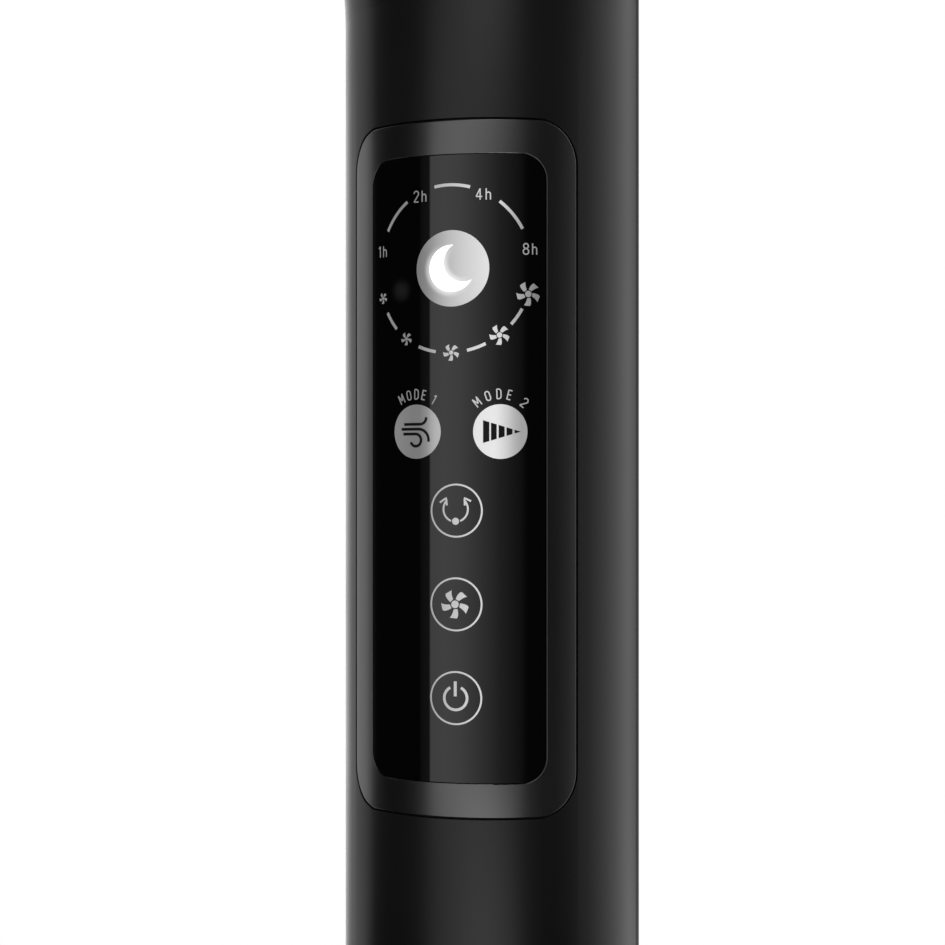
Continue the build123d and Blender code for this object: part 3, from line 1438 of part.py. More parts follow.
# Cross-flow wheel: staggered sections of curved blades between flat rings
wheel_low = duct_z + 4.0
wheel_high = upper_partition_z - 6.0
section_height = (wheel_high - wheel_low - (wheel_sections + 1) * disc_thickness) / wheel_sections
section_step = section_height + disc_thickness
ring_width = blade_depth + 1.0
blade_stagger = 360 / blade_count / wheel_sections
hub_radius = 9.0
hub_length = 12.0
blade_bow = 5.5
blade_lean = 6.0
blade_bow_depth = 0.42 * blade_depth
blade_tip = 0.4
with BuildPart() as blower_wheel:
    for k in range(wheel_sections):
        turn = k * blade_stagger
        with BuildSketch(Plane.XY.offset(wheel_low + disc_thickness + k * section_step)):
            with Locations(Location((*wheel_centre, 0), (0, 0, turn))):
                with PolarLocations(0, blade_count):
                    with BuildLine(mode=Mode.PRIVATE) as camber:
                        ThreePointArc(polar(wheel_radius - blade_tip, 0),
                                      polar(wheel_radius - blade_bow_depth, blade_bow),
                                      polar(wheel_radius - blade_depth, blade_lean))
                    trace(camber.line, line_width=blade_thickness)
        extrude(amount=section_height)
    for k in range(wheel_sections + 1):
        closed = k in (0, wheel_sections)
        with BuildSketch(Plane.XY.offset(wheel_low + k * section_step)):
            with Locations(wheel_centre):
                Circle(wheel_radius)
                if not closed:
                    Circle(wheel_radius - ring_width, mode=Mode.SUBTRACT)
        extrude(amount=disc_thickness)
    # hubs on the end discs
    for z in (wheel_low + disc_thickness, wheel_high - disc_thickness - hub_length):
        with BuildSketch(Plane.XY.offset(z)):
            with Locations(wheel_centre):
                Circle(hub_radius)
        extrude(amount=hub_length)
    with BuildSketch(Plane.XY.offset(wheel_low)):
        with Locations(wheel_centre):
            Circle(shaft_radius)
    extrude(amount=disc_thickness + hub_length, mode=Mode.SUBTRACT)
    with BuildSketch(Plane.XY.offset(wheel_high)):
        with Locations(wheel_centre):
            Circle(axle_radius)
    extrude(amount=-disc_thickness - hub_length, mode=Mode.SUBTRACT)
finish(blower_wheel, "blower_wheel")

shaft_low = motor_bottom + 0.5
with BuildPart() as motor_shaft:
    with BuildSketch(Plane.XY.offset(shaft_low)):
        with Locations(wheel_centre):
            Circle(shaft_radius)
    extrude(amount=wheel_low + disc_thickness + hub_length - shaft_low)
finish(motor_shaft, "motor_shaft")

axle_low = wheel_high - disc_thickness - hub_length
axle_end = 3.0
with BuildPart() as top_axle:
    with BuildSketch(Plane.XY.offset(axle_low)):
        with Locations(wheel_centre):
            Circle(axle_radius)
    extrude(amount=upper_partition_z + plate_sheet + axle_end - axle_low)
finish(top_axle, "top_axle")

boot_lip = 1.5
boot_collar = 3.5
boot_flange = 2.0
top_bearing_radius = 5.5
with BuildPart() as bearing_boot:
    with BuildSketch(Plane.XY.offset(upper_partition_z)):
        with Locations(wheel_centre):
            Circle(bearing_radius + partition_collar)
    extrude(amount=plate_sheet)
    boot_flanges = ((upper_partition_z - boot_lip, boot_lip), (upper_partition_z + plate_sheet, boot_collar))
    for z, height in boot_flanges:
        with BuildSketch(Plane.XY.offset(z)):
            with Locations(wheel_centre):
                Circle(bearing_radius + partition_collar + boot_flange)
        extrude(amount=height)
    with BuildSketch(Plane.XY.offset(upper_partition_z - boot_lip)):
        with Locations(wheel_centre):
            Circle(top_bearing_radius)
    extrude(amount=boot_lip + plate_sheet + boot_collar, mode=Mode.SUBTRACT)
finish(bearing_boot, "bearing_boot")

bearing_overhang = 1.0
with BuildPart() as top_bearing:
    with BuildSketch(Plane.XY.offset(upper_partition_z - bearing_overhang)):
        with Locations(wheel_centre):
            Circle(top_bearing_radius)
            Circle(axle_radius + running_gap, mode=Mode.SUBTRACT)
    extrude(amount=bearing_overhang + plate_sheet + axle_end)
finish(top_bearing, "top_bearing")

# ================================================================ outlet grille and cap
outlet_margin = 10.0
outlet_low = duct_z + outlet_margin
outlet_high = upper_partition_z - outlet_margin
rib_count = 25
rib_span = 90.0
rib_thickness = 1.4
rib_depth = 9.0
rib_recess = 0.6
bar_count = 5
bar_thickness = 1.6
bar_span = 76.0
bar_inset = 2.2
bar_depth = 6.0
front_zone = 60.0
lip_height = 5.0
lip_width = 44.0
lip_thickness = 1.8
lip_gap = 0.1
wall_bite = 0.5
outlet_plane = facing_front(0, (outlet_low + outlet_high) / 2)


def front_band(outer, inner):
    """Plan of a band between two offsets of the proud front."""
    with BuildSketch() as band:
        add(front_section(outer, front_bulge))
        add(front_section(inner, front_bulge), mode=Mode.SUBTRACT)
    return band.sketch


with BuildPart() as outlet_ribs:
    with BuildSketch(Plane.XY.offset(outlet_low - 2)):
        for k in range(rib_count):
            angle = front + rib_span * (k / (rib_count - 1) - 0.5)
            with Locations(Location((0, 0, 0), (0, 0, angle))):
                Rectangle(2 * column_radius, rib_thickness, align=(Align.MIN, Align.CENTER))
        add(front_band(column_radius - rib_recess, column_radius - rib_depth), mode=Mode.INTERSECT)
    extrude(amount=outlet_high - outlet_low + 4)
    for k in range(bar_count):
        z = outlet_low + (k + 1) * (outlet_high - outlet_low) / (bar_count + 1)
        with BuildSketch(Plane.XY.offset(z - bar_thickness / 2)):
            add(front_band(column_radius - bar_inset, column_radius - bar_depth))
            with Locations((0, -column_radius)):
                Rectangle(bar_span, front_zone, mode=Mode.INTERSECT)
        extrude(amount=bar_thickness)

grille_places = [(side * grille_screw_x, -grille_screw_y) for side in (1, -1)]
with BuildPart() as grille_bosses:
    for z in (duct_z, upper_partition_z - grille_boss):
        with BuildSketch(Plane.XY.offset(z)):
            with Locations(*grille_places):
                Circle(boss_radius)
                Rectangle(2 * boss_radius, column_radius, align=(Align.CENTER, Align.MAX))
        extrude(amount=grille_boss)
    add(posts_along_y(facing_front(0), both_sides(side_boss_x, side_screw_z[3:]), boss_radius, column_radius))
    with BuildSketch(Plane.XY):
        add(front_section(inner_radius + wall_bite, front_bulge))
    extrude(amount=top_z, mode=Mode.INTERSECT)

# the lip that goes behind the front shell's upper edge
with BuildPart() as grille_lip:
    with BuildSketch(Plane.XY.offset(joint_z - lip_height)):
        add(front_band(inner_radius - lip_gap, inner_radius - lip_gap - lip_thickness))
    extrude(amount=lip_height)
    with BuildSketch(Plane.XY.offset(joint_z)):
        add(front_band(inner_radius + wall_bite, inner_radius - lip_gap - lip_thickness))
    extrude(amount=2)
    with BuildSketch(Plane.XY):
        with Locations((0, -column_radius)):
            Rectangle(lip_width, front_zone)
    extrude(amount=top_z, mode=Mode.INTERSECT)

with BuildPart() as outlet_grille:
    with BuildSketch(Plane.XY.offset(joint_z)):
        add(front_band(column_radius, inner_radius))
    extrude(amount=trim_z - joint_z)
    with BuildSketch(outlet_plane):
        add(wrapped_outline(bezel_width, outlet_high - outlet_low, bezel_corner))
    extrude(amount=column_radius + front_bulge + 1, mode=Mode.SUBTRACT)
    add(outlet_ribs.part)
    add(grille_bosses.part)
    add(grille_lip.part)
    for z in (duct_z, upper_partition_z - grille_boss + 1):
        with BuildSketch(Plane.XY.offset(z)):
            with Locations(*grille_places):
                Circle(screw_radius)
        extrude(amount=grille_boss - 1, mode=Mode.SUBTRACT)
    add(posts_along_y(facing_front(0), both_sides(side_boss_x, side_screw_z[3:]), screw_radius,
                      side_screw_length - head_well_y), mode=Mode.SUBTRACT)
    add(seam_cut(joint_z, trim_z), mode=Mode.SUBTRACT)
finish(outlet_grille, "outlet_grille")

trim_inset = 0.8
with BuildPart() as top_trim:
    with BuildSketch(Plane.XY.offset(trim_z)):
        add(duct_section(column_radius - trim_inset, front_bulge))
        add(duct_section(inner_radius, front_bulge), mode=Mode.SUBTRACT)
    extrude(amount=trim_height)
finish(top_trim, "top_trim")

cap_round = 5.0
cap_wall = 2.0
with BuildPart() as top_cap:
    with BuildSketch(Plane.XY.offset(cap_z)):
        add(duct_section(column_radius, front_bulge))
    extrude(amount=cap_height)
    fillet(top_cap.edges().group_by(Axis.Z)[-1], cap_round)
    with BuildSketch(Plane.XY.offset(cap_z)):
        add(duct_section(inner_radius - cap_wall, front_bulge))
    extrude(amount=cap_height - shell_wall, mode=Mode.SUBTRACT)
    # lip inside the shells
    with BuildSketch(Plane.XY.offset(trim_z - 2)):
        add(duct_section(fit_radius, front_bulge))
        add(duct_section(fit_radius - lip_thickness, front_bulge), mode=Mode.SUBTRACT)
    extrude(amount=trim_height + 2)
finish(top_cap, "top_cap")
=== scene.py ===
"""Dresses the tower fan: its finishes, the printed touch panel, and a plain studio around it.

Metres, in the same frame as the solids. The panel's marks are drawn flat in millimetres,
as (along the round face, up from the panel's middle), and then wrapped on the lens.
"""

import json
from math import atan2, cos, degrees, hypot, pi, radians, sin

import bmesh
import bpy
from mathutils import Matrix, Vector

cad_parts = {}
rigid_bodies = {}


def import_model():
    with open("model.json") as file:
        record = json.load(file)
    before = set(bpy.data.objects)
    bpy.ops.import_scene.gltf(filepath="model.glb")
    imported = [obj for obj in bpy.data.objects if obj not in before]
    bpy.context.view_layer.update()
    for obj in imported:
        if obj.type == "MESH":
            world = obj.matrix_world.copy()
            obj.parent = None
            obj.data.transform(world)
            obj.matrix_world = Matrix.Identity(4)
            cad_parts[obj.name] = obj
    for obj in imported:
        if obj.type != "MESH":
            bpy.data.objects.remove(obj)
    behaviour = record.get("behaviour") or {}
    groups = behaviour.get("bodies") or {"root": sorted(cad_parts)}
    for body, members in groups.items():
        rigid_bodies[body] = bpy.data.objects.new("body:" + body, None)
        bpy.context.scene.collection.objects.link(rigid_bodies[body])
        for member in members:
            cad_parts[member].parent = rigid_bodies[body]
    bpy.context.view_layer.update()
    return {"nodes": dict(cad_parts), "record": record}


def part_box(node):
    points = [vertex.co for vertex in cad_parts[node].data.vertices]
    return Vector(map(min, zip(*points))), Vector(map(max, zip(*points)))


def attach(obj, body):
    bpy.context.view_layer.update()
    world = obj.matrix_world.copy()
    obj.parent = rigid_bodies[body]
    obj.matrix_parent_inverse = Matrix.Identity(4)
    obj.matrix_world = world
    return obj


for leftover in list(bpy.data.objects):
    bpy.data.objects.remove(leftover)

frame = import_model()
nodes = frame["nodes"]
MM = 0.001

lens_low, lens_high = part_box("touch_lens")
LENS_RADIUS = -lens_low.y
PANEL_LEVEL = (lens_low.z + lens_high.z) / 2


# ------------------------------------------------------------------ node helpers
def new_tree(name, kind, inputs, outputs):
    """A node group with named sockets, given as (name, socket kind, value)."""
    tree = bpy.data.node_groups.new(name, kind)
    for label, socket, value in inputs:
        made = tree.interface.new_socket(label, in_out="INPUT", socket_type=socket)
        if value is not None:
            made.default_value = value
    for label, socket in outputs:
        tree.interface.new_socket(label, in_out="OUTPUT", socket_type=socket)
    entry = tree.nodes.new("NodeGroupInput")
    leave = tree.nodes.new("NodeGroupOutput")
    return tree, entry.outputs, leave.inputs


def put(tree, kind, **settings):
    """A node of that kind; settings whose names start with a capital are input values."""
    node = tree.nodes.new(kind)
    for key, value in settings.items():
        if key[0].isupper():
            node.inputs[key.replace("_", " ")].default_value = value
        else:
            setattr(node, key, value)
    return node


def feed(tree, place, term):
    """Gives an input its term: a number or a socket."""
    if isinstance(term, (int, float)):
        place.default_value = term
    else:
        tree.links.new(term, place)


def sum_of(tree, operation, *terms):
    """One Math node; each term is a number or a socket."""
    node = put(tree, "ShaderNodeMath", operation=operation)
    for place, term in zip(node.inputs, terms):
        feed(tree, place, term)
    return node.outputs[0]


def share_between(tree, value, low, high, **settings):
    """The share of the way from low to high that a value has gone."""
    share = put(tree, "ShaderNodeMapRange", From_Min=low, From_Max=high, **settings)
    tree.links.new(value, share.inputs["Value"])
    return share.outputs["Result"]


def distance_from(tree, position, place):
    """How far a position is from a fixed place, in metres."""
    away = put(tree, "ShaderNodeVectorMath", operation="DISTANCE")
    tree.links.new(position, away.inputs[0])
    away.inputs[1].default_value = place
    return away.outputs["Value"]


def turn_of(tree, position):
    """The angle of a position round the column, from the front towards the right, in radians."""
    split = put(tree, "ShaderNodeSeparateXYZ")
    tree.links.new(position, split.inputs[0])
    return sum_of(tree, "ARCTAN2", split.outputs["X"], sum_of(tree, "MULTIPLY", split.outputs["Y"], -1.0))


def grey_ramp(tree, share, stops):
    """A grey that changes along a share from 0 to 1; stops are (share, brightness)."""
    ramp = put(tree, "ShaderNodeValToRGB")
    tree.links.new(share, ramp.inputs["Fac"])
    elements = ramp.color_ramp.elements
    while len(elements) < len(stops):
        elements.new(0.5)
    for element, (place, level) in zip(elements, stops):
        element.position = place
        element.color = (level, level, level, 1.0)
    return ramp.outputs["Color"]


def effect(tree, group, position, **values):
    """The outputs of a shared surface effect at a position."""
    node = put(tree, "ShaderNodeGroup", node_tree=group, **values)
    tree.links.new(position, node.inputs["Position"])
    return node.outputs


# ------------------------------------------------------------------ shared surface effects
def build_moulded_grain():
    """Fine moulded grain: a height, a slow change of gloss and a slow change of tone."""
    tree, entry, leave = new_tree(
        "moulded_grain", "ShaderNodeTree",
        [("Position", "NodeSocketVector", None), ("Grain", "NodeSocketFloat", 2500.0),
         ("Patch", "NodeSocketFloat", 14.0)],
        [("Height", "NodeSocketFloat"), ("Gloss", "NodeSocketFloat"), ("Tone", "NodeSocketFloat")])
    link = tree.links.new
    grain = put(tree, "ShaderNodeTexNoise", Detail=2.0, Roughness=0.6)
    link(entry["Position"], grain.inputs["Vector"])
    link(entry["Grain"], grain.inputs["Scale"])
    link(grain.outputs["Fac"], leave["Height"])
    patch = put(tree, "ShaderNodeTexNoise", Detail=4.0, Roughness=0.55)
    link(entry["Position"], patch.inputs["Vector"])
    link(entry["Patch"], patch.inputs["Scale"])
    centred = sum_of(tree, "SUBTRACT", patch.outputs["Fac"], 0.5)
    link(centred, leave["Gloss"])
    link(patch.outputs["Fac"], leave["Tone"])
    return tree


def build_drawn_metal():
    """Drawn or turned metal: fine lines along one direction, and slow stains."""
    tree, entry, leave = new_tree(
        "drawn_metal", "ShaderNodeTree",
        [("Position", "NodeSocketVector", None), ("Stretch", "NodeSocketVector", (1.0, 1.0, 20.0)),
         ("Lines", "NodeSocketFloat", 900.0)],
        [("Height", "NodeSocketFloat"), ("Gloss", "NodeSocketFloat"), ("Tone", "NodeSocketFloat")])
    link = tree.links.new
    scaled = put(tree, "ShaderNodeVectorMath", operation="MULTIPLY")
    link(entry["Position"], scaled.inputs[0])
    link(entry["Stretch"], scaled.inputs[1])
    lines = put(tree, "ShaderNodeTexNoise", Detail=3.0, Roughness=0.7)
    link(scaled.outputs[0], lines.inputs["Vector"])
    link(entry["Lines"], lines.inputs["Scale"])
    link(lines.outputs["Fac"], leave["Height"])
    stain = put(tree, "ShaderNodeTexNoise", Scale=45.0, Detail=3.0)
    link(entry["Position"], stain.inputs["Vector"])
    link(sum_of(tree, "SUBTRACT", lines.outputs["Fac"], 0.5), leave["Gloss"])
    link(stain.outputs["Fac"], leave["Tone"])
    return tree


def build_settled_dust():
    """A thin film of dust on faces that look up."""
    tree, entry, leave = new_tree(
        "settled_dust", "ShaderNodeTree",
        [("Position", "NodeSocketVector", None), ("Amount", "NodeSocketFloat", 0.05)],
        [("Mask", "NodeSocketFloat")])
    link = tree.links.new
    face = put(tree, "ShaderNodeNewGeometry")
    split = put(tree, "ShaderNodeSeparateXYZ")
    link(face.outputs["Normal"], split.inputs[0])
    upward = share_between(tree, split.outputs["Z"], 0.55, 1.0, interpolation_type="SMOOTHSTEP")
    specks = put(tree, "ShaderNodeTexNoise", Scale=320.0, Detail=5.0, Roughness=0.7)
    link(entry["Position"], specks.inputs["Vector"])
    film = sum_of(tree, "MULTIPLY", upward, specks.outputs["Fac"])
    link(sum_of(tree, "MULTIPLY", film, entry["Amount"]), leave["Mask"])
    return tree


MOULDED = build_moulded_grain()
DRAWN = build_drawn_metal()
DUST = build_settled_dust()


# ------------------------------------------------------------------ finishes
def empty_material(name):
    """A material with nothing in its tree but the output, whose surface socket it gives."""
    finish = bpy.data.materials.new(name)
    finish.use_nodes = True
    tree = finish.node_tree
    tree.nodes.clear()
    return finish, tree, put(tree, "ShaderNodeOutputMaterial").inputs["Surface"]


def own_position(tree):
    """The position on a piece in its own coordinates."""
    return put(tree, "ShaderNodeTexCoord").outputs["Object"]


def blank_finish(name):
    """A material with its Principled shader, and the surface's own position."""
    finish, tree, surface = empty_material(name)
    shader = put(tree, "ShaderNodeBsdfPrincipled")
    tree.links.new(shader.outputs[0], surface)
    return finish, tree, shader, own_position(tree)


def two_tones(tree, factor, dark, light):
    """A colour between dark and light."""
    mix = put(tree, "ShaderNodeMix", data_type="RGBA")
    tree.links.new(factor, mix.inputs["Factor"])
    mix.inputs["A"].default_value = (*dark, 1.0)
    mix.inputs["B"].default_value = (*light, 1.0)
    return mix.outputs["Result"]


def shaded(colour, share):
    """A colour made darker or lighter by a share."""
    return tuple(channel * share for channel in colour)


def raised(tree, height, depth, shader):
    """Feeds a height to the shader's normal, with depth in metres."""
    bump = put(tree, "ShaderNodeBump", Strength=1.0, Distance=depth)
    tree.links.new(height, bump.inputs["Height"])
    tree.links.new(bump.outputs["Normal"], shader.inputs["Normal"])


DUST_COLOUR = (0.32, 0.31, 0.30, 1.0)


def plastic(name, colour, roughness, grain=2500.0, depth=4e-6, spread=0.12, dust=0.0, ior=1.5):
    """Moulded plastic or rubber, with grain, uneven gloss and a film of dust."""
    finish, tree, shader, position = blank_finish(name)
    link = tree.links.new
    surface = effect(tree, MOULDED, position, Grain=grain)
    body = two_tones(tree, surface["Tone"], shaded(colour, 1 - spread), shaded(colour, 1 + spread))
    film = effect(tree, DUST, position, Amount=dust)["Mask"]
    dusty = put(tree, "ShaderNodeMix", data_type="RGBA")
    link(film, dusty.inputs["Factor"])
    link(body, dusty.inputs["A"])
    dusty.inputs["B"].default_value = DUST_COLOUR
    link(dusty.outputs["Result"], shader.inputs["Base Color"])
    gloss = sum_of(tree, "MULTIPLY_ADD", surface["Gloss"], 0.10, roughness)
    link(sum_of(tree, "ADD", gloss, film), shader.inputs["Roughness"])
    shader.inputs["IOR"].default_value = ior
    raised(tree, surface["Height"], depth, shader)
    return finish


def metal(name, colour, roughness, stretch=(1.0, 1.0, 20.0), depth=3e-6, spread=0.18):
    """Bare or plated metal with drawn lines."""
    finish, tree, shader, position = blank_finish(name)
    link = tree.links.new
    surface = effect(tree, DRAWN, position, Stretch=stretch)
    link(two_tones(tree, surface["Tone"], shaded(colour, 1 - spread), shaded(colour, 1 + spread)),
         shader.inputs["Base Color"])
    link(sum_of(tree, "MULTIPLY_ADD", surface["Gloss"], 0.25, roughness), shader.inputs["Roughness"])
    shader.inputs["Metallic"].default_value = 1.0
    raised(tree, surface["Height"], depth, shader)
    return finish


SATIN_BLACK = (0.0045, 0.0045, 0.0047)
FINISHES = {
    "shell_black": plastic("satin_black_shell", SATIN_BLACK, 0.31, dust=0.004, ior=1.395),
    "base_black": plastic("satin_black_base", SATIN_BLACK, 0.36, dust=0.012, ior=1.395),
    "grille_black": plastic("matt_black_grille", (0.006, 0.006, 0.0062), 0.45),
    "trim_dark": metal("dark_chrome_trim", (0.16, 0.16, 0.165), 0.24),
    "inner_plastic": plastic("inner_black_plastic", (0.018, 0.018, 0.019), 0.55, grain=1200.0, depth=8e-6),
    "blower_plastic": plastic("blower_grey_plastic", (0.05, 0.05, 0.052), 0.5),
    "white_plastic": plastic("white_plastic", (0.72, 0.72, 0.70), 0.42, spread=0.03),
    "gear_plastic": plastic("natural_gear_plastic", (0.68, 0.66, 0.58), 0.38, spread=0.04),
    "board_green": plastic("board_green_mask", (0.012, 0.10, 0.04), 0.28, grain=600.0, spread=0.25),
    "part_black": plastic("part_black", (0.012, 0.012, 0.012), 0.3),
    "block_green": plastic("terminal_green", (0.02, 0.2, 0.08), 0.4),
    "led_white": plastic("led_milky", (0.8, 0.79, 0.74), 0.2, spread=0.04),
    "foam_grey": plastic("foam_grey", (0.06, 0.06, 0.06), 0.9, grain=900.0, depth=1e-4, spread=0.3),
    "rubber_black": plastic("rubber_black", (0.014, 0.014, 0.014), 0.72, grain=1600.0, depth=1.5e-5),
    "screw_steel": metal("zinc_plated_steel", (0.46, 0.46, 0.47), 0.34, stretch=(6.0, 6.0, 6.0)),
    "polished_steel": metal("ground_steel", (0.6, 0.6, 0.61), 0.16, stretch=(1.0, 1.0, 30.0)),
    "sheet_steel": metal("galvanised_sheet", (0.5, 0.5, 0.51), 0.4, stretch=(3.0, 3.0, 3.0), spread=0.3),
    "core_steel": metal("laminated_core", (0.28, 0.28, 0.29), 0.5, stretch=(1.0, 1.0, 60.0)),
    "winding_copper": metal("enamelled_copper", (0.5, 0.2, 0.08), 0.32, stretch=(1.0, 1.0, 40.0)),
    "bearing_bronze": metal("sintered_bronze", (0.48, 0.33, 0.16), 0.45, stretch=(8.0, 8.0, 8.0)),
    "hub_metal": metal("turned_aluminium", (0.52, 0.52, 0.53), 0.3, stretch=(1.0, 1.0, 40.0)),
    "ballast_iron": metal("cast_iron", (0.07, 0.07, 0.07), 0.7, stretch=(2.0, 2.0, 2.0), depth=6e-5),
}


def graphite_lacquer():
    """The bezel: dark metallic paint under a clear coat."""
    finish, tree, shader, position = blank_finish("graphite_lacquer")
    link = tree.links.new
    surface = effect(tree, MOULDED, position, Grain=5200.0, Patch=20.0)
    link(two_tones(tree, surface["Height"], (0.074, 0.074, 0.075), (0.099, 0.099, 0.100)),
         shader.inputs["Base Color"])
    link(sum_of(tree, "MULTIPLY_ADD", surface["Gloss"], 0.06, 0.33), shader.inputs["Roughness"])
    shader.inputs["Metallic"].default_value = 1.0
    shader.inputs["Coat Weight"].default_value = 0.95
    shader.inputs["Coat Roughness"].default_value = 0.2
    raised(tree, surface["Height"], 1.5e-6, shader)
    return finish


RECEIVER_SPOT = (-19.4, 62.8)
RECEIVER_RADIUS = 5.7


def on_the_lens(along, up):
    """The place on the lens of a flat point in millimetres."""
    turn = along * MM / LENS_RADIUS
    return Vector((LENS_RADIUS * sin(turn), -LENS_RADIUS * cos(turn), PANEL_LEVEL + up * MM))


def piano_black_glass():
    """The touch lens: black gloss, with a faint window over the remote control's receiver."""
    finish, tree, shader, position = blank_finish("piano_black_lens")
    link = tree.links.new
    surface = effect(tree, MOULDED, position, Grain=300.0, Patch=30.0)
    away = distance_from(tree, position, on_the_lens(*RECEIVER_SPOT))
    window = share_between(tree, away, RECEIVER_RADIUS * MM, 0.0, interpolation_type="SMOOTHERSTEP")
    link(two_tones(tree, window, (0.0006, 0.0006, 0.0006), (0.0118, 0.0118, 0.0121)),
         shader.inputs["Base Color"])
    link(sum_of(tree, "MULTIPLY_ADD", surface["Gloss"], 0.012, 0.018), shader.inputs["Roughness"])
    shader.inputs["IOR"].default_value = 1.57
    return finish


FINISHES["bezel_graphite"] = graphite_lacquer()
FINISHES["lens_black"] = piano_black_glass()

# Each solid takes the finish of its material slot.
for subpart in frame["record"]["subparts"]:
    piece = nodes[subpart["node"]]
    for place in piece.material_slots:
        place.material = FINISHES[subpart["material_slot"]]


# ------------------------------------------------------------------ points on the flat panel, in millimetres
def circle_point(centre, radius, angle):
    """The point of a circle at an angle in degrees, from the right and turning left."""
    return (centre[0] + radius * cos(radians(angle)), centre[1] + radius * sin(radians(angle)))


def arc(centre, radius, start, end, steps=12):
    """The points of an arc, both ends among them."""
    return [circle_point(centre, radius, start + (end - start) * k / steps) for k in range(steps + 1)]


def about(centre, points):
    """Points given from a centre, moved to it."""
    return [(centre[0] + x, centre[1] + y) for x, y in points]


# ------------------------------------------------------------------ inks of the printed panel
def painted_light_round_the_panel(tree, position, light_stops):
    """Painted highlight and shade: a grey that changes round the panel, lighter where the light falls and
    darker away from it; the stops are (along in mm, brightness).
    """
    first, last = light_stops[0][0], light_stops[-1][0]
    along = sum_of(tree, "MULTIPLY", turn_of(tree, position), LENS_RADIUS / MM)
    stops = [((place - first) / (last - first), level) for place, level in light_stops]
    return grey_ramp(tree, share_between(tree, along, first, last), stops)


def silver_ink_with_painted_light(name, light_stops, roughness=0.38):
    """Silver screen ink with fine flecks; its brightness round the panel is painted highlight and shade."""
    finish, tree, shader, position = blank_finish(name)
    link = tree.links.new
    surface = effect(tree, MOULDED, position, Grain=9000.0, Patch=60.0)
    fleck = put(tree, "ShaderNodeMix", data_type="RGBA", blend_type="MULTIPLY")
    fleck.inputs["Factor"].default_value = 1.0
    # Painted highlight and shade: the ink's grey grows lighter and darker round the panel.
    link(painted_light_round_the_panel(tree, position, light_stops), fleck.inputs["A"])
    flecks = two_tones(tree, surface["Height"], (0.94, 0.94, 0.94), (1.06, 1.06, 1.06))
    link(flecks, fleck.inputs["B"])
    link(fleck.outputs["Result"], shader.inputs["Base Color"])
    link(sum_of(tree, "MULTIPLY_ADD", surface["Gloss"], 0.08, roughness), shader.inputs["Roughness"])
    return finish


# Painted highlight and shade on the silver inks, as (along in mm, brightness): brightest right of the middle,
# where the light falls.
LINE_PAINTED_LIGHT = [(-30, 0.27), (-25, 0.30), (-18, 0.25), (-11, 0.29), (-6, 0.46), (0, 0.56), (8, 0.72),
              (13, 0.80), (18, 0.74), (23, 0.48), (30, 0.25)]
WORD_PAINTED_LIGHT = [(-30, 0.30), (-14, 0.24), (-8, 0.32), (8, 0.62), (14, 0.72), (24, 0.44), (31, 0.30)]
DISC_PAINTED_LIGHT = [(-22.5, 0.27), (-18.5, 0.25), (-14.5, 0.217), (-11.5, 0.215), (-8.6, 0.29), (-7.2, 0.39),
              (-5.5, 0.47), (-3.2, 0.52), (8, 0.85), (12.5, 0.895), (15.5, 0.92), (17, 0.87), (19.7, 0.725),
              (22.5, 0.53), (25, 0.42), (27.2, 0.42)]
LINE_INK_WITH_PAINTED_LIGHT = silver_ink_with_painted_light("silver_line_ink", LINE_PAINTED_LIGHT)
WORD_INK_WITH_PAINTED_LIGHT = silver_ink_with_painted_light("silver_word_ink", WORD_PAINTED_LIGHT)
DISC_INK_WITH_PAINTED_LIGHT = silver_ink_with_painted_light("silver_disc_ink", DISC_PAINTED_LIGHT, 0.30)


def black_ink():
    """Black ink of the signs on the silver discs."""
    finish, tree, shader, position = blank_finish("black_mark_ink")
    surface = effect(tree, MOULDED, position, Grain=4000.0)
    tree.links.new(two_tones(tree, surface["Tone"], (0.0015, 0.0015, 0.0015), (0.004, 0.004, 0.004)),
                   shader.inputs["Base Color"])
    shader.inputs["Roughness"].default_value = 0.4
    shader.inputs["IOR"].default_value = 1.3
    return finish


BLACK_INK = black_ink()

# The night button is a silver disc with a lit crescent: a round moon less the disc that covers it.
NIGHT_PLACE = (0.55, 69.7)
NIGHT_RADIUS = 13.3
# Painted highlight and shade on the night disc, as (along in mm, brightness): brighter towards the right.
NIGHT_PAINTED_LIGHT = [(-12.5, 0.20), (-9.0, 0.25), (-6.6, 0.32), (-4.4, 0.40), (-2.2, 0.47), (0, 0.54), (4.3, 0.65),
               (8.6, 0.74), (14, 0.85)]
MOON_RADIUS = 8.2
MOON_BITE = 6.9
MOON_SHIFT = 4.6
MOON_TILT = 28.0
MOON_COVER = circle_point(NIGHT_PLACE, MOON_SHIFT, MOON_TILT)
MOON_HEART = circle_point(NIGHT_PLACE, 0.7 * MOON_RADIUS, MOON_TILT + 180)
# A painted glow on the silver round the moon: how far it reaches in millimetres, and how strong it is.
MOON_PAINTED_GLOW_REACH = 2.6
MOON_PAINTED_GLOW_STRENGTH = 0.32


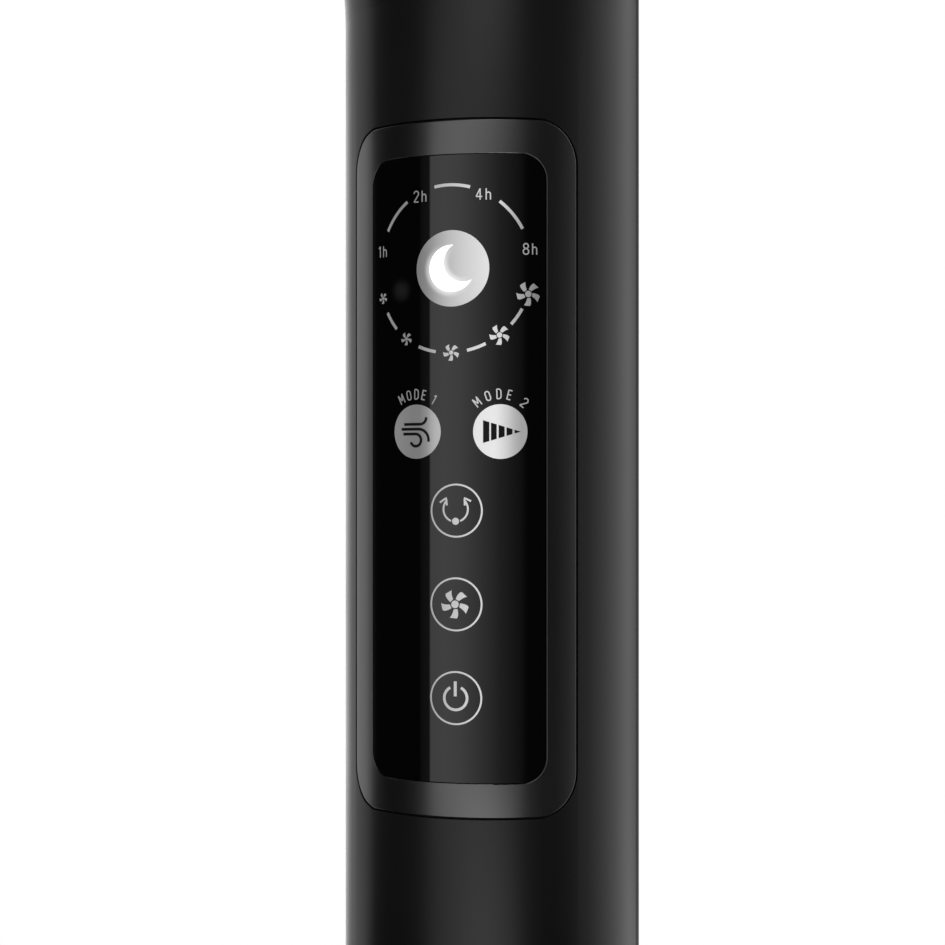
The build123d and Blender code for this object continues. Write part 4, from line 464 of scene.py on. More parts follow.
def night_disc_with_painted_light():
    """Silver disc with painted light: a painted highlight towards the right, and a painted glow on the silver
    round the lit moon.
    """
    finish, tree, shader, position = blank_finish("night_disc_silver")
    link = tree.links.new
    # Painted highlight and shade: the disc's silver grows lighter towards the right.
    link(painted_light_round_the_panel(tree, position, NIGHT_PAINTED_LIGHT), shader.inputs["Base Color"])
    surface = effect(tree, MOULDED, position, Grain=6000.0)
    link(sum_of(tree, "MULTIPLY_ADD", surface["Gloss"], 0.1, 0.32), shader.inputs["Roughness"])
    from_disc, from_cover, from_heart = [distance_from(tree, position, on_the_lens(*centre))
                                         for centre in (NIGHT_PLACE, MOON_COVER, MOON_HEART)]
    past_rim = sum_of(tree, "SUBTRACT", from_disc, MOON_RADIUS * MM)
    into_cover = sum_of(tree, "SUBTRACT", MOON_BITE * MM, from_cover)
    glow = share_between(tree, sum_of(tree, "MAXIMUM", past_rim, into_cover), MOON_PAINTED_GLOW_REACH * MM, 0.0,
                         interpolation_type="SMOOTHERSTEP")
    near_heart = share_between(tree, from_heart, 1.6 * MOON_RADIUS * MM, 0.5 * MOON_RADIUS * MM,
                               interpolation_type="SMOOTHERSTEP", To_Max=MOON_PAINTED_GLOW_STRENGTH)
    # Painted glow: the silver disc itself shines round the moon, strongest near its heart.
    link(sum_of(tree, "MULTIPLY", glow, near_heart), shader.inputs["Emission Strength"])
    shader.inputs["Emission Color"].default_value = (1.0, 1.0, 1.0, 1.0)
    return finish


def moonlight():
    """The lit crescent: a milky light window, brightest at its middle."""
    finish, tree, shader, position = blank_finish("moon_light_window")
    away = distance_from(tree, position, on_the_lens(*NIGHT_PLACE))
    outwards = share_between(tree, away, 0.0, NIGHT_RADIUS * MM)
    tree.links.new(two_tones(tree, outwards, (1.0, 1.0, 1.0), (0.82, 0.84, 0.86)),
                   shader.inputs["Emission Color"])
    shader.inputs["Emission Strength"].default_value = 0.9
    shader.inputs["Base Color"].default_value = (0.8, 0.8, 0.8, 1.0)
    shader.inputs["Roughness"].default_value = 0.35
    return finish


NIGHT_DISC_WITH_PAINTED_LIGHT = night_disc_with_painted_light()
MOONLIGHT = moonlight()


# ------------------------------------------------------------------ geometry trees for the marks
# The ink stands clear of the lens by its lift. Lift and thickness are in millimetres.
PRINT_LIFT = 0.02
PRINT_THICKNESS = 0.05

SHAPE_IN = ("Geometry", "NodeSocketGeometry", None)
SHAPE_OUT = ("Geometry", "NodeSocketGeometry")
LIFT_IN = ("Lift", "NodeSocketFloat", PRINT_LIFT)
THICKNESS_IN = ("Thickness", "NodeSocketFloat", PRINT_THICKNESS)
INK_IN = ("Ink", "NodeSocketMaterial", None)


def straight_up(tree, height):
    """A vector along z; its height is a number or a socket."""
    vector = put(tree, "ShaderNodeCombineXYZ")
    feed(tree, vector.inputs["Z"], height)
    return vector.outputs[0]


def lifted(tree, shape, height):
    """A shape moved up by a height."""
    moved = put(tree, "GeometryNodeSetPosition")
    tree.links.new(shape, moved.inputs["Geometry"])
    tree.links.new(straight_up(tree, height), moved.inputs["Offset"])
    return moved.outputs[0]


def build_wrap():
    """Wraps flat millimetre shapes round the lens: x runs round it, y up it and z out of it."""
    tree, entry, leave = new_tree(
        "wrap_on_lens", "GeometryNodeTree",
        [SHAPE_IN, ("Radius", "NodeSocketFloat", LENS_RADIUS), ("Level", "NodeSocketFloat", PANEL_LEVEL)],
        [SHAPE_OUT])
    link = tree.links.new
    split = put(tree, "ShaderNodeSeparateXYZ")
    link(put(tree, "GeometryNodeInputPosition").outputs[0], split.inputs[0])
    along = sum_of(tree, "MULTIPLY", split.outputs["X"], MM)
    turn = sum_of(tree, "DIVIDE", along, entry["Radius"])
    reach = sum_of(tree, "MULTIPLY_ADD", split.outputs["Z"], MM, entry["Radius"])
    joined = put(tree, "ShaderNodeCombineXYZ")
    link(sum_of(tree, "MULTIPLY", sum_of(tree, "SINE", turn), reach), joined.inputs["X"])
    back = sum_of(tree, "MULTIPLY", sum_of(tree, "COSINE", turn), reach)
    link(sum_of(tree, "MULTIPLY", back, -1.0), joined.inputs["Y"])
    link(sum_of(tree, "MULTIPLY_ADD", split.outputs["Y"], MM, entry["Level"]), joined.inputs["Z"])
    moved = put(tree, "GeometryNodeSetPosition")
    link(entry["Geometry"], moved.inputs["Geometry"])
    link(joined.outputs[0], moved.inputs["Position"])
    link(moved.outputs[0], leave["Geometry"])
    return tree


def build_slab():
    """Gives a flat sheet of faces a thickness, as a closed body."""
    tree, entry, leave = new_tree("slab", "GeometryNodeTree", [SHAPE_IN, LIFT_IN, THICKNESS_IN], [SHAPE_OUT])
    link = tree.links.new
    foot = lifted(tree, entry["Geometry"], entry["Lift"])
    thick = put(tree, "GeometryNodeExtrudeMesh", Individual=False)
    link(foot, thick.inputs["Mesh"])
    link(straight_up(tree, 1.0), thick.inputs["Offset"])
    link(entry["Thickness"], thick.inputs["Offset Scale"])
    under = put(tree, "GeometryNodeFlipFaces")
    link(foot, under.inputs["Mesh"])
    both = put(tree, "GeometryNodeJoinGeometry")
    link(thick.outputs["Mesh"], both.inputs[0])
    link(under.outputs[0], both.inputs[0])
    closed = put(tree, "GeometryNodeMergeByDistance", Distance=0.0005)
    link(both.outputs[0], closed.inputs["Geometry"])
    link(closed.outputs[0], leave["Geometry"])
    return tree


WRAP = build_wrap()
SLAB = build_slab()


def finish_tree(tree, shape, ink, leave):
    """Ends a tree: realised, wrapped, and given its ink."""
    link = tree.links.new
    real = put(tree, "GeometryNodeRealizeInstances")
    link(shape, real.inputs[0])
    wrapped = put(tree, "GeometryNodeGroup", node_tree=WRAP)
    link(real.outputs[0], wrapped.inputs["Geometry"])
    coated = put(tree, "GeometryNodeSetMaterial")
    link(wrapped.outputs[0], coated.inputs["Geometry"])
    link(ink, coated.inputs["Material"])
    link(coated.outputs[0], leave["Geometry"])


def build_patch_print():
    """Filled marks: flat faces, given a thickness and wrapped."""
    tree, entry, leave = new_tree("patch_print", "GeometryNodeTree",
                                  [SHAPE_IN, LIFT_IN, THICKNESS_IN, INK_IN], [SHAPE_OUT])
    body = put(tree, "GeometryNodeGroup", node_tree=SLAB)
    for socket in ("Geometry", "Lift", "Thickness"):
        tree.links.new(entry[socket], body.inputs[socket])
    finish_tree(tree, body.outputs[0], entry["Ink"], leave)
    return tree


def build_line_print():
    """Line marks: a flat band along each curve, wrapped."""
    tree, entry, leave = new_tree(
        "line_print", "GeometryNodeTree",
        [SHAPE_IN, ("Width", "NodeSocketFloat", 0.8), LIFT_IN, THICKNESS_IN, INK_IN], [SHAPE_OUT])
    link = tree.links.new
    divided = put(tree, "GeometryNodeSubdivideCurve", Cuts=3)
    link(entry["Geometry"], divided.inputs[0])
    level = put(tree, "GeometryNodeSetCurveNormal", mode="Z_UP")
    link(divided.outputs[0], level.inputs[0])
    section = put(tree, "GeometryNodeCurvePrimitiveQuadrilateral")
    link(entry["Width"], section.inputs["Width"])
    link(entry["Thickness"], section.inputs["Height"])
    band = put(tree, "GeometryNodeCurveToMesh", Fill_Caps=True)
    link(level.outputs[0], band.inputs["Curve"])
    link(section.outputs[0], band.inputs["Profile Curve"])
    middle = sum_of(tree, "MULTIPLY_ADD", entry["Thickness"], 0.5, entry["Lift"])
    finish_tree(tree, lifted(tree, band.outputs[0], middle), entry["Ink"], leave)
    return tree


def build_fan_print():
    """A fan mark: one blade repeated round a hub, scaled and put in place."""
    tree, entry, leave = new_tree(
        "fan_print", "GeometryNodeTree",
        [SHAPE_IN, ("Blades", "NodeSocketInt", 5), ("Hub", "NodeSocketFloat", 1.35),
         ("Turn", "NodeSocketFloat", 0.0), ("Size", "NodeSocketFloat", 1.0),
         ("Place", "NodeSocketVector", (0.0, 0.0, 0.0)), LIFT_IN, THICKNESS_IN, INK_IN],
        [SHAPE_OUT])
    link = tree.links.new
    stations = put(tree, "GeometryNodePoints")
    link(entry["Blades"], stations.inputs["Count"])
    count = put(tree, "GeometryNodeInputIndex")
    step = sum_of(tree, "DIVIDE", 2 * pi, entry["Blades"])
    angle = sum_of(tree, "MULTIPLY_ADD", count.outputs[0], step, entry["Turn"])
    ring = put(tree, "GeometryNodeInstanceOnPoints")
    link(stations.outputs[0], ring.inputs["Points"])
    link(entry["Geometry"], ring.inputs["Instance"])
    link(straight_up(tree, angle), ring.inputs["Rotation"])
    hub = put(tree, "GeometryNodeMeshCircle", fill_type="TRIANGLE_FAN", Vertices=24)
    link(entry["Hub"], hub.inputs["Radius"])
    both = put(tree, "GeometryNodeJoinGeometry")
    link(ring.outputs[0], both.inputs[0])
    link(hub.outputs[0], both.inputs[0])
    real = put(tree, "GeometryNodeRealizeInstances")
    link(both.outputs[0], real.inputs[0])
    placed = put(tree, "GeometryNodeTransform")
    link(real.outputs[0], placed.inputs["Geometry"])
    link(entry["Place"], placed.inputs["Translation"])
    size = put(tree, "ShaderNodeCombineXYZ", Z=1.0)
    link(entry["Size"], size.inputs["X"])
    link(entry["Size"], size.inputs["Y"])
    link(size.outputs[0], placed.inputs["Scale"])
    body = put(tree, "GeometryNodeGroup", node_tree=SLAB)
    link(placed.outputs[0], body.inputs["Geometry"])
    link(entry["Lift"], body.inputs["Lift"])
    link(entry["Thickness"], body.inputs["Thickness"])
    finish_tree(tree, body.outputs[0], entry["Ink"], leave)
    return tree


PATCH_PRINT = build_patch_print()
LINE_PRINT = build_line_print()
FAN_PRINT = build_fan_print()


def grown(source, tree, **values):
    """The plain mesh that a geometry tree makes from the data of a source object."""
    maker = bpy.data.objects.new("maker", source)
    bpy.context.scene.collection.objects.link(maker)
    step = maker.modifiers.new("tree", "NODES")
    step.node_group = tree
    for item in tree.interface.items_tree:
        key = item.name.replace(" ", "_")
        if item.item_type == "SOCKET" and item.in_out == "INPUT" and key in values:
            step[item.identifier] = values[key]
    evaluated = maker.evaluated_get(bpy.context.evaluated_depsgraph_get())
    mesh = bpy.data.meshes.new_from_object(evaluated)
    bpy.data.objects.remove(maker)
    return mesh


def panel_piece(name, meshes):
    """Joins plain meshes into one piece that rides on the column."""
    blend = bmesh.new()
    inks = []
    for mesh in meshes:
        start = len(blend.faces)
        blend.from_mesh(mesh)
        blend.faces.ensure_lookup_table()
        ink = mesh.materials[mesh.polygons[0].material_index]
        if ink not in inks:
            inks.append(ink)
        for face in blend.faces[start:]:
            face.material_index = inks.index(ink)
            face.smooth = False
        bpy.data.meshes.remove(mesh)
    joined = bpy.data.meshes.new(name)
    blend.to_mesh(joined)
    blend.free()
    for ink in inks:
        joined.materials.append(ink)
    piece = bpy.data.objects.new(name, joined)
    bpy.context.scene.collection.objects.link(piece)
    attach(piece, "column")
    return piece


# ------------------------------------------------------------------ flat shapes, in millimetres
def lines_curve(name, lines):
    """Curve data with one straight-run spline for each list of points; a ring's points are closed."""
    data = bpy.data.curves.new(name, "CURVE")
    data.dimensions = "3D"
    for points in lines:
        closed = hypot(points[0][0] - points[-1][0], points[0][1] - points[-1][1]) < 1e-6
        kept = points[:-1] if closed else points
        spline = data.splines.new("POLY")
        spline.points.add(len(kept) - 1)
        for place, (x, y) in zip(spline.points, kept):
            place.co = (x, y, 0.0, 1.0)
        spline.use_cyclic_u = closed
    return data


def strip(name, left, right, across):
    """A flat sheet between two edges with the same number of points, in a number of bands across."""
    data = bpy.data.meshes.new(name)
    rows = len(left)
    points = []
    for (x0, y0), (x1, y1) in zip(left, right):
        points += [(x0 + (x1 - x0) * k / across, y0 + (y1 - y0) * k / across, 0.0) for k in range(across + 1)]
    width = across + 1
    faces = []
    for row in range(rows - 1):
        for k in range(across):
            first = row * width + k
            faces.append((first, first + 1, first + width + 1, first + width))
    data.from_pydata(points, [], faces)
    sheet = bmesh.new()
    sheet.from_mesh(data)
    bmesh.ops.remove_doubles(sheet, verts=sheet.verts, dist=1e-5)
    bmesh.ops.recalc_face_normals(sheet, faces=sheet.faces)
    if sheet.faces and sum(face.normal.z for face in sheet.faces) < 0:
        bmesh.ops.reverse_faces(sheet, faces=sheet.faces)
    sheet.to_mesh(data)
    sheet.free()
    return data


def disc(name, centre, radius, rings, spokes):
    """A flat disc made of rings, so that it bends smoothly round the lens."""
    data = bpy.data.meshes.new(name)
    points = [(centre[0], centre[1], 0.0)]
    for ring in range(1, rings + 1):
        reach = radius * ring / rings
        points += [(*circle_point(centre, reach, 360 * k / spokes), 0.0) for k in range(spokes)]
    faces = [(0, 1 + k, 1 + (k + 1) % spokes) for k in range(spokes)]
    for ring in range(1, rings):
        inner, outer = 1 + (ring - 1) * spokes, 1 + ring * spokes
        for k in range(spokes):
            after = (k + 1) % spokes
            faces.append((inner + k, outer + k, outer + after, inner + after))
    data.from_pydata(points, [], faces)
    return data


# ------------------------------------------------------------------ lettering, drawn with plain strokes
# Each sign is (width, strokes) for a height of 1.
SIGNS = {
    "1": (0.30, [[(0.02, 0.80), (0.22, 1.0)], [(0.22, 1.0), (0.22, 0.0)]]),
    "2": (0.50, [arc((0.25, 0.75), 0.24, 175, -35, 10) + [(0.02, 0.02)], [(0.02, 0.02), (0.50, 0.02)]]),
    "4": (0.56, [[(0.38, 0.0), (0.38, 1.0)], [(0.38, 1.0), (0.02, 0.28)], [(0.02, 0.28), (0.56, 0.28)]]),
    "8": (0.50, [arc((0.25, 0.75), 0.22, 90, 450, 18), arc((0.25, 0.26), 0.25, 90, 450, 18)]),
    "h": (0.46, [[(0.04, 0.0), (0.04, 1.0)],
                 [(0.04, 0.50)] + arc((0.23, 0.48), 0.19, 140, 0, 8) + [(0.42, 0.0)]]),
    "M": (0.62, [[(0.05, 0.0), (0.05, 1.0)], [(0.05, 1.0), (0.31, 0.30)], [(0.31, 0.30), (0.57, 1.0)],
                 [(0.57, 1.0), (0.57, 0.0)]]),
    "O": (0.50, [arc((0.25, 0.75), 0.22, 0, 180, 10) + arc((0.25, 0.25), 0.22, 180, 360, 10)
                 + [(0.47, 0.75)]]),
    "D": (0.50, [[(0.05, 0.0), (0.05, 1.0)],
                 [(0.05, 1.0)] + arc((0.22, 0.74), 0.25, 80, 0, 6) + arc((0.22, 0.26), 0.25, 0, -80, 6)
                 + [(0.05, 0.0)]]),
    "E": (0.42, [[(0.05, 0.0), (0.05, 1.0)], [(0.05, 0.97), (0.42, 0.97)], [(0.05, 0.52), (0.38, 0.52)],
                 [(0.05, 0.03), (0.42, 0.03)]]),
    " ": (0.22, []),
}
SIGN_GAP = 0.16


def word_width(word, gap):
    """The width of a word for a height of 1."""
    return sum(SIGNS[sign][0] for sign in word) + gap * (len(word) - 1)


def level_word(word, height, centre, gap):
    """The strokes of a word written level about its centre."""
    x = centre[0] - word_width(word, gap) * height / 2
    y = centre[1] - height / 2
    strokes = []
    for sign in word:
        width, lines = SIGNS[sign]
        strokes += [[(x + u * height, y + v * height) for u, v in line] for line in lines]
        x += (width + gap) * height
    return strokes


def arched_word(word, height, centre, radius, spacing):
    """The strokes of a word written over a disc, its foot at radius and its signs spaced out."""
    scale = height * spacing
    start = 90 + degrees(word_width(word, SIGN_GAP) * scale / 2 / (radius + height / 2))
    strokes = []
    x = 0.0
    for sign in word:
        width, lines = SIGNS[sign]
        middle = (x + width / 2) * scale
        turn = start - degrees(middle / (radius + height / 2))
        for line in lines:
            placed = []
            for u, v in line:
                side, rise = (u - width / 2) * height, radius + v * height
                lean = radians(turn - 90)
                placed.append((centre[0] + side * cos(lean) - rise * sin(lean),
                               centre[1] + side * sin(lean) + rise * cos(lean)))
            strokes.append(placed)
        x += width + SIGN_GAP
    return strokes


def lines_mesh(name, lines, width, ink, lift=PRINT_LIFT):
    """Line marks of one width as a mesh on the lens."""
    return grown(lines_curve(name, lines), LINE_PRINT, Width=width, Lift=lift, Ink=ink)


def patch_mesh(data, ink, lift=PRINT_LIFT):
    """A filled mark as a mesh on the lens."""
    return grown(data, PATCH_PRINT, Lift=lift, Ink=ink)


# ------------------------------------------------------------------ the dial
DIAL_PLACE = (-0.3, 69.6)
DIAL_RADIUS = 29.2
DASH_WIDTH = 1.1
# The two ends of each dash, in degrees on the dial.
DIAL_DASHES = [(150.0, 124.0), (100.8, 75.2), (52.6, 28.1), (-28.8, -41.8), (-63.8, -77.4), (-99.8, -113.4),
               (-136.2, -150.7)]
dashes = [arc(DIAL_PLACE, DIAL_RADIUS, start, end) for start, end in DIAL_DASHES]
panel_piece("dial_dashes", [lines_mesh("dashes", dashes, DASH_WIDTH, LINE_INK_WITH_PAINTED_LIGHT)])

HOURS = [("1h", (-28.4, 77.2)), ("2h", (-11.4, 95.4)), ("4h", (11.8, 95.3)), ("8h", (28.2, 76.4))]
# The gap between signs is a share of their height.
HOUR_HEIGHT = 3.9
HOUR_GAP = 0.32
STROKE_WIDTH = 0.42
hour_lines = [line for word, place in HOURS for line in level_word(word, HOUR_HEIGHT, place, HOUR_GAP)]
panel_piece("hour_numbers", [lines_mesh("hours", hour_lines, STROKE_WIDTH, WORD_INK_WITH_PAINTED_LIGHT)])

# Blade edges as (radius, angle) in a fan of the radius below.
BLADE_LEAD = [(1.85, 36.0), (2.8, 29.0), (3.7, 24.0), (4.5, 19.0), (4.95, 13.0)]
BLADE_TRAIL = [(1.85, -9.0), (2.8, -9.5), (3.7, -11.0), (4.5, -13.5), (5.05, -16.0)]
FAN_RADIUS = 5.0
FAN_TURN = 48.0


def blade_sheet():
    """One blade as a flat sheet between its two edges."""
    lead = [circle_point((0, 0), radius, angle) for radius, angle in BLADE_LEAD]
    trail = [circle_point((0, 0), radius, angle) for radius, angle in BLADE_TRAIL]
    return strip("blade", lead, trail, 3)


def fan_mesh(place, radius):
    """A fan mark as a mesh on the lens."""
    return grown(blade_sheet(), FAN_PRINT, Place=(*place, 0.0), Size=radius / FAN_RADIUS,
                 Turn=radians(FAN_TURN), Ink=LINE_INK_WITH_PAINTED_LIGHT)


# The fans of the dial as (angle on the dial, radius), from the fastest to the slowest.
SPEEDS = [(-17.7, 4.25), (-52.7, 3.55), (-88.6, 2.95), (-125.0, 2.3), (-162.1, 2.0)]
panel_piece("speed_fans", [fan_mesh(circle_point(DIAL_PLACE, DIAL_RADIUS, angle), radius)
                           for angle, radius in SPEEDS])

# ------------------------------------------------------------------ night button with its moon
# What is printed on a disc stands clear of its ink.
MARK_LIFT = PRINT_LIFT + PRINT_THICKNESS + 0.02
panel_piece("night_disc", [patch_mesh(disc("night_disc", NIGHT_PLACE, NIGHT_RADIUS, 10, 96), NIGHT_DISC_WITH_PAINTED_LIGHT)])


def crescent(centre, radius, bite, shift, tilt, steps=36):
    """A moon: the outer edge of a disc and the edge of the disc that covers it."""
    chord = (radius ** 2 - bite ** 2 + shift ** 2) / (2 * shift)
    half_chord = (radius ** 2 - chord ** 2) ** 0.5
    reach = degrees(atan2(half_chord, chord))
    inner_reach = degrees(atan2(half_chord, chord - shift))
    cover = circle_point(centre, shift, tilt)
    outer = arc(centre, radius, tilt + reach, tilt + 360 - reach, steps)
    inner = arc(cover, bite, tilt + inner_reach, tilt + 360 - inner_reach, steps)
    return outer, inner


moon_outer, moon_inner = crescent(NIGHT_PLACE, MOON_RADIUS, MOON_BITE, MOON_SHIFT, MOON_TILT)
panel_piece("night_moon", [patch_mesh(strip("moon", moon_outer, moon_inner, 5), MOONLIGHT, MARK_LIFT)])

# ------------------------------------------------------------------ the two mode buttons
MODE_RADIUS = 9.5
BREEZE_PLACE = (-12.9, 13.0)
FADE_PLACE = (17.7, 12.85)
panel_piece("mode_discs", [patch_mesh(disc("mode_disc", place, MODE_RADIUS, 8, 80), DISC_INK_WITH_PAINTED_LIGHT)
                           for place in (BREEZE_PLACE, FADE_PLACE)])

BREEZE_WIDTH = 0.95
BREEZE = [
    [(-5.1, 2.6), (1.6, 2.6)] + arc((1.6, 5.0), 2.4, -90, 0, 8),
    [(-6.2, 0.9), (1.0, 0.9)] + arc((1.0, -3.0), 3.9, 90, -8, 10),
    [(-5.4, -0.8), (-0.2, -0.8)] + arc((-0.2, -2.95), 2.15, 90, -160, 16),
]
breeze_lines = [about(BREEZE_PLACE, line) for line in BREEZE]
panel_piece("breeze_mark", [lines_mesh("breeze", breeze_lines, BREEZE_WIDTH, BLACK_INK, MARK_LIFT)])

# Upright bars, cut from one triangle that lies on its side with its tip to the right.
FADE_LEFT = -5.9
FADE_TIP = 7.05
FADE_HALF = 3.9
FADE_BARS = [(-6.0, -3.85), (-3.25, -1.3), (-0.6, 1.45), (2.15, 4.2), (4.95, FADE_TIP)]


def fade_height(x):
    """Half the height of the triangle at x."""
    return FADE_HALF * (FADE_TIP - x) / (FADE_TIP - FADE_LEFT)


def fade_bar(x0, x1):
    """One bar as a flat sheet."""
    upper = [(x, fade_height(x)) for x in (x0, x1)]
    lower = [(x, -fade_height(x)) for x in (x0, x1)]
    return strip("bar", about(FADE_PLACE, upper), about(FADE_PLACE, lower), 4)


panel_piece("fade_mark", [patch_mesh(fade_bar(*ends), BLACK_INK, MARK_LIFT) for ends in FADE_BARS])

WORD_HEIGHT = 3.4
WORD_REACH = 11.4
# Each word, the disc that it stands over, and how widely its signs are spaced.
MODE_WORDS = [("MODE 1", BREEZE_PLACE, 1.4), ("MODE 2", FADE_PLACE, 1.75)]
mode_lines = [line for word, place, spacing in MODE_WORDS
              for line in arched_word(word, WORD_HEIGHT, place, WORD_REACH, spacing)]
panel_piece("mode_words", [lines_mesh("mode_words", mode_lines, STROKE_WIDTH, WORD_INK_WITH_PAINTED_LIGHT)])

# ------------------------------------------------------------------ the three touch keys
KEY_RADIUS = 9.08
KEY_RING_WIDTH = 0.62
SWING_PLACE = (2.2, -14.6)
SPEED_PLACE = (2.1, -47.2)
POWER_PLACE = (2.0, -79.8)
keys = [arc(place, KEY_RADIUS, 0, 360, 72) for place in (SWING_PLACE, SPEED_PLACE, POWER_PLACE)]
panel_piece("key_rings", [lines_mesh("key_rings", keys, KEY_RING_WIDTH, LINE_INK_WITH_PAINTED_LIGHT)])

# Swing: two arms of a circle that end in arrow heads, and a dot at its foot.
SWING_CENTRE = (SWING_PLACE[0] - 0.2, SWING_PLACE[1] + 0.5)
SWING_RADIUS = 4.4
SWING_WIDTH = 0.66
SWING_DOT = 1.25
swing_lines = [arc(SWING_CENTRE, SWING_RADIUS, 248, 134, 16), arc(SWING_CENTRE, SWING_RADIUS, -68, 46, 16),
               about(SWING_PLACE, [(-5.9, 2.8), (-3.6, 4.4), (-3.3, 1.8)]),
               about(SWING_PLACE, [(5.3, 3.3), (3.0, 4.4), (3.1, 1.8)])]
swing_dot = disc("swing_dot", circle_point(SWING_CENTRE, SWING_RADIUS - 0.2, -90), SWING_DOT, 2, 24)
panel_piece("swing_mark", [lines_mesh("swing", swing_lines, SWING_WIDTH, LINE_INK_WITH_PAINTED_LIGHT),
                           patch_mesh(swing_dot, LINE_INK_WITH_PAINTED_LIGHT)])

SPEED_FAN_PLACE = (SPEED_PLACE[0] - 0.3, SPEED_PLACE[1])
panel_piece("speed_mark", [fan_mesh(SPEED_FAN_PLACE, FAN_RADIUS)])

POWER_RADIUS = 4.1
POWER_RING_WIDTH = 0.95
POWER_STEM_WIDTH = 1.05
power_ring = arc(POWER_PLACE, POWER_RADIUS, 118, 422, 28)
power_stem = about(POWER_PLACE, [(-0.1, 5.8), (-0.1, 0.6)])
panel_piece("power_mark", [lines_mesh("power_ring", [power_ring], POWER_RING_WIDTH, LINE_INK_WITH_PAINTED_LIGHT),
                           lines_mesh("power_stem", [power_stem], POWER_STEM_WIDTH, LINE_INK_WITH_PAINTED_LIGHT)])

# ------------------------------------------------------------------ studio
# The view: its turn from the front and its aim to the left are in degrees, the rest in metres.
VIEW_TURN = 15.5
VIEW_DISTANCE = 0.707
VIEW_HEIGHT = 0.2677
AIM_LEFT = 0.6


def round_column(angle, distance, height):
    """A place round the column, at an angle from the front towards the right."""
    return Vector((distance * sin(radians(angle)), -distance * cos(radians(angle)), height))


def looking_at(place, target):
    """The turn of a camera or lamp at a place that looks at a target."""
    return (target - place).to_track_quat("-Z", "Y").to_euler()


def build_camera():
    """The camera, close to the touch panel and a little to its right."""
    view = bpy.data.cameras.new("camera")
    view.sensor_width = 36.0
    view.lens = 71.6
    view.shift_y = 0.009
    view.clip_start = 0.05
    view.clip_end = 30.0
    camera = bpy.data.objects.new("camera", view)
    bpy.context.scene.collection.objects.link(camera)
    camera.location = round_column(VIEW_TURN, VIEW_DISTANCE, VIEW_HEIGHT)
    aim = looking_at(camera.location, Vector((0.0, 0.0, VIEW_HEIGHT)))
    aim.z += radians(AIM_LEFT)
    camera.rotation_euler = aim
    bpy.context.scene.camera = camera


build_camera()


def stage_mesh(name, points, faces, finish):
    """A mesh of the studio, which is no piece of the fan."""
    data = bpy.data.meshes.new(name)
    data.from_pydata(points, [], faces)
    data.materials.append(finish)
    piece = bpy.data.objects.new(name, data)
    bpy.context.scene.collection.objects.link(piece)
    return piece


def seen_white(tree):
    """1 where a camera, glossy or transmission ray looks."""
    path = put(tree, "ShaderNodeLightPath")
    first = sum_of(tree, "MAXIMUM", path.outputs["Is Camera Ray"], path.outputs["Is Glossy Ray"])
    return sum_of(tree, "MAXIMUM", first, path.outputs["Is Transmission Ray"])


def mixed_shader(tree, share, first, second):
    """The mix of two shader nodes by a share of the second."""
    mixed = put(tree, "ShaderNodeMixShader")
    tree.links.new(share, mixed.inputs[0])
    tree.links.new(first.outputs[0], mixed.inputs[1])
    tree.links.new(second.outputs[0], mixed.inputs[2])
    return mixed.outputs[0]


def floor_finish():
    """Pale floor that shows the shadow near the base and runs out into the white background."""
    finish, tree, surface = empty_material("pale_floor")
    link = tree.links.new
    plain = put(tree, "ShaderNodeBsdfDiffuse", Color=(0.86, 0.86, 0.86, 1.0))
    white = put(tree, "ShaderNodeEmission", Color=(1.0, 1.0, 1.0, 1.0), Strength=1.0)
    away = put(tree, "ShaderNodeVectorMath", operation="LENGTH")
    link(own_position(tree), away.inputs[0])
    fade = share_between(tree, away.outputs["Value"], 0.15, 0.38,
                         interpolation_type="SMOOTHSTEP", To_Min=0.42)
    link(mixed_shader(tree, sum_of(tree, "MULTIPLY", fade, seen_white(tree)), plain, white), surface)
    return finish


FLOOR_REACH = 12.0
stage_mesh("floor", [(-FLOOR_REACH, -FLOOR_REACH, 0), (FLOOR_REACH, -FLOOR_REACH, 0),
                     (FLOOR_REACH, FLOOR_REACH, 0), (-FLOOR_REACH, FLOOR_REACH, 0)], [(0, 1, 2, 3)],
           floor_finish())

# A round screen about the fan: dark flags and soft white panels, seen only in reflections.
# Each stop is (angle from the front towards the right, brightness). The low screen is what the
# glossy panel mirrors; the satin parts blur in the high one and the floor too.
SCREEN_RADIUS = 0.95
SCREEN_SPLIT = 0.64
SCREEN_HEIGHT = 2.4
SIDE_STOPS = [(-180, 0.10), (-168, 0.60), (-157, 2.0), (-140, 1.9), (-127, 0.67), (-104, 0.60), (-96, 0.84),
              (-91.5, 0.56), (-88.5, 0.09), (-83, 0.02), (-78, 0.012)]
REAR_STOPS = [(62, 0.02), (76, 0.10), (90, 0.42), (106, 0.88), (123, 1.2), (140, 1.3), (150, 0.84),
              (163, 0.14), (180, 0.05)]
LOW_FRONT = [(-40.5, 0.012), (-38.5, 0.07), (-32.2, 0.11), (-31.6, 0.92), (-20, 1.03), (-8.5, 0.93),
             (6.5, 0.59), (21, 0.27), (35, 0.10), (42, 0.02)]
HIGH_FRONT = [(-36, 0.01), (-22, 0.4), (-8, 0.9), (3, 1.7), (14, 1.9), (28, 1.2), (40, 0.04)]
FLOOR_FRONT = [(-36, 0.012), (-27, 0.6), (-12, 1.0), (2, 1.7), (14, 1.8), (28, 1.2), (40, 0.04)]


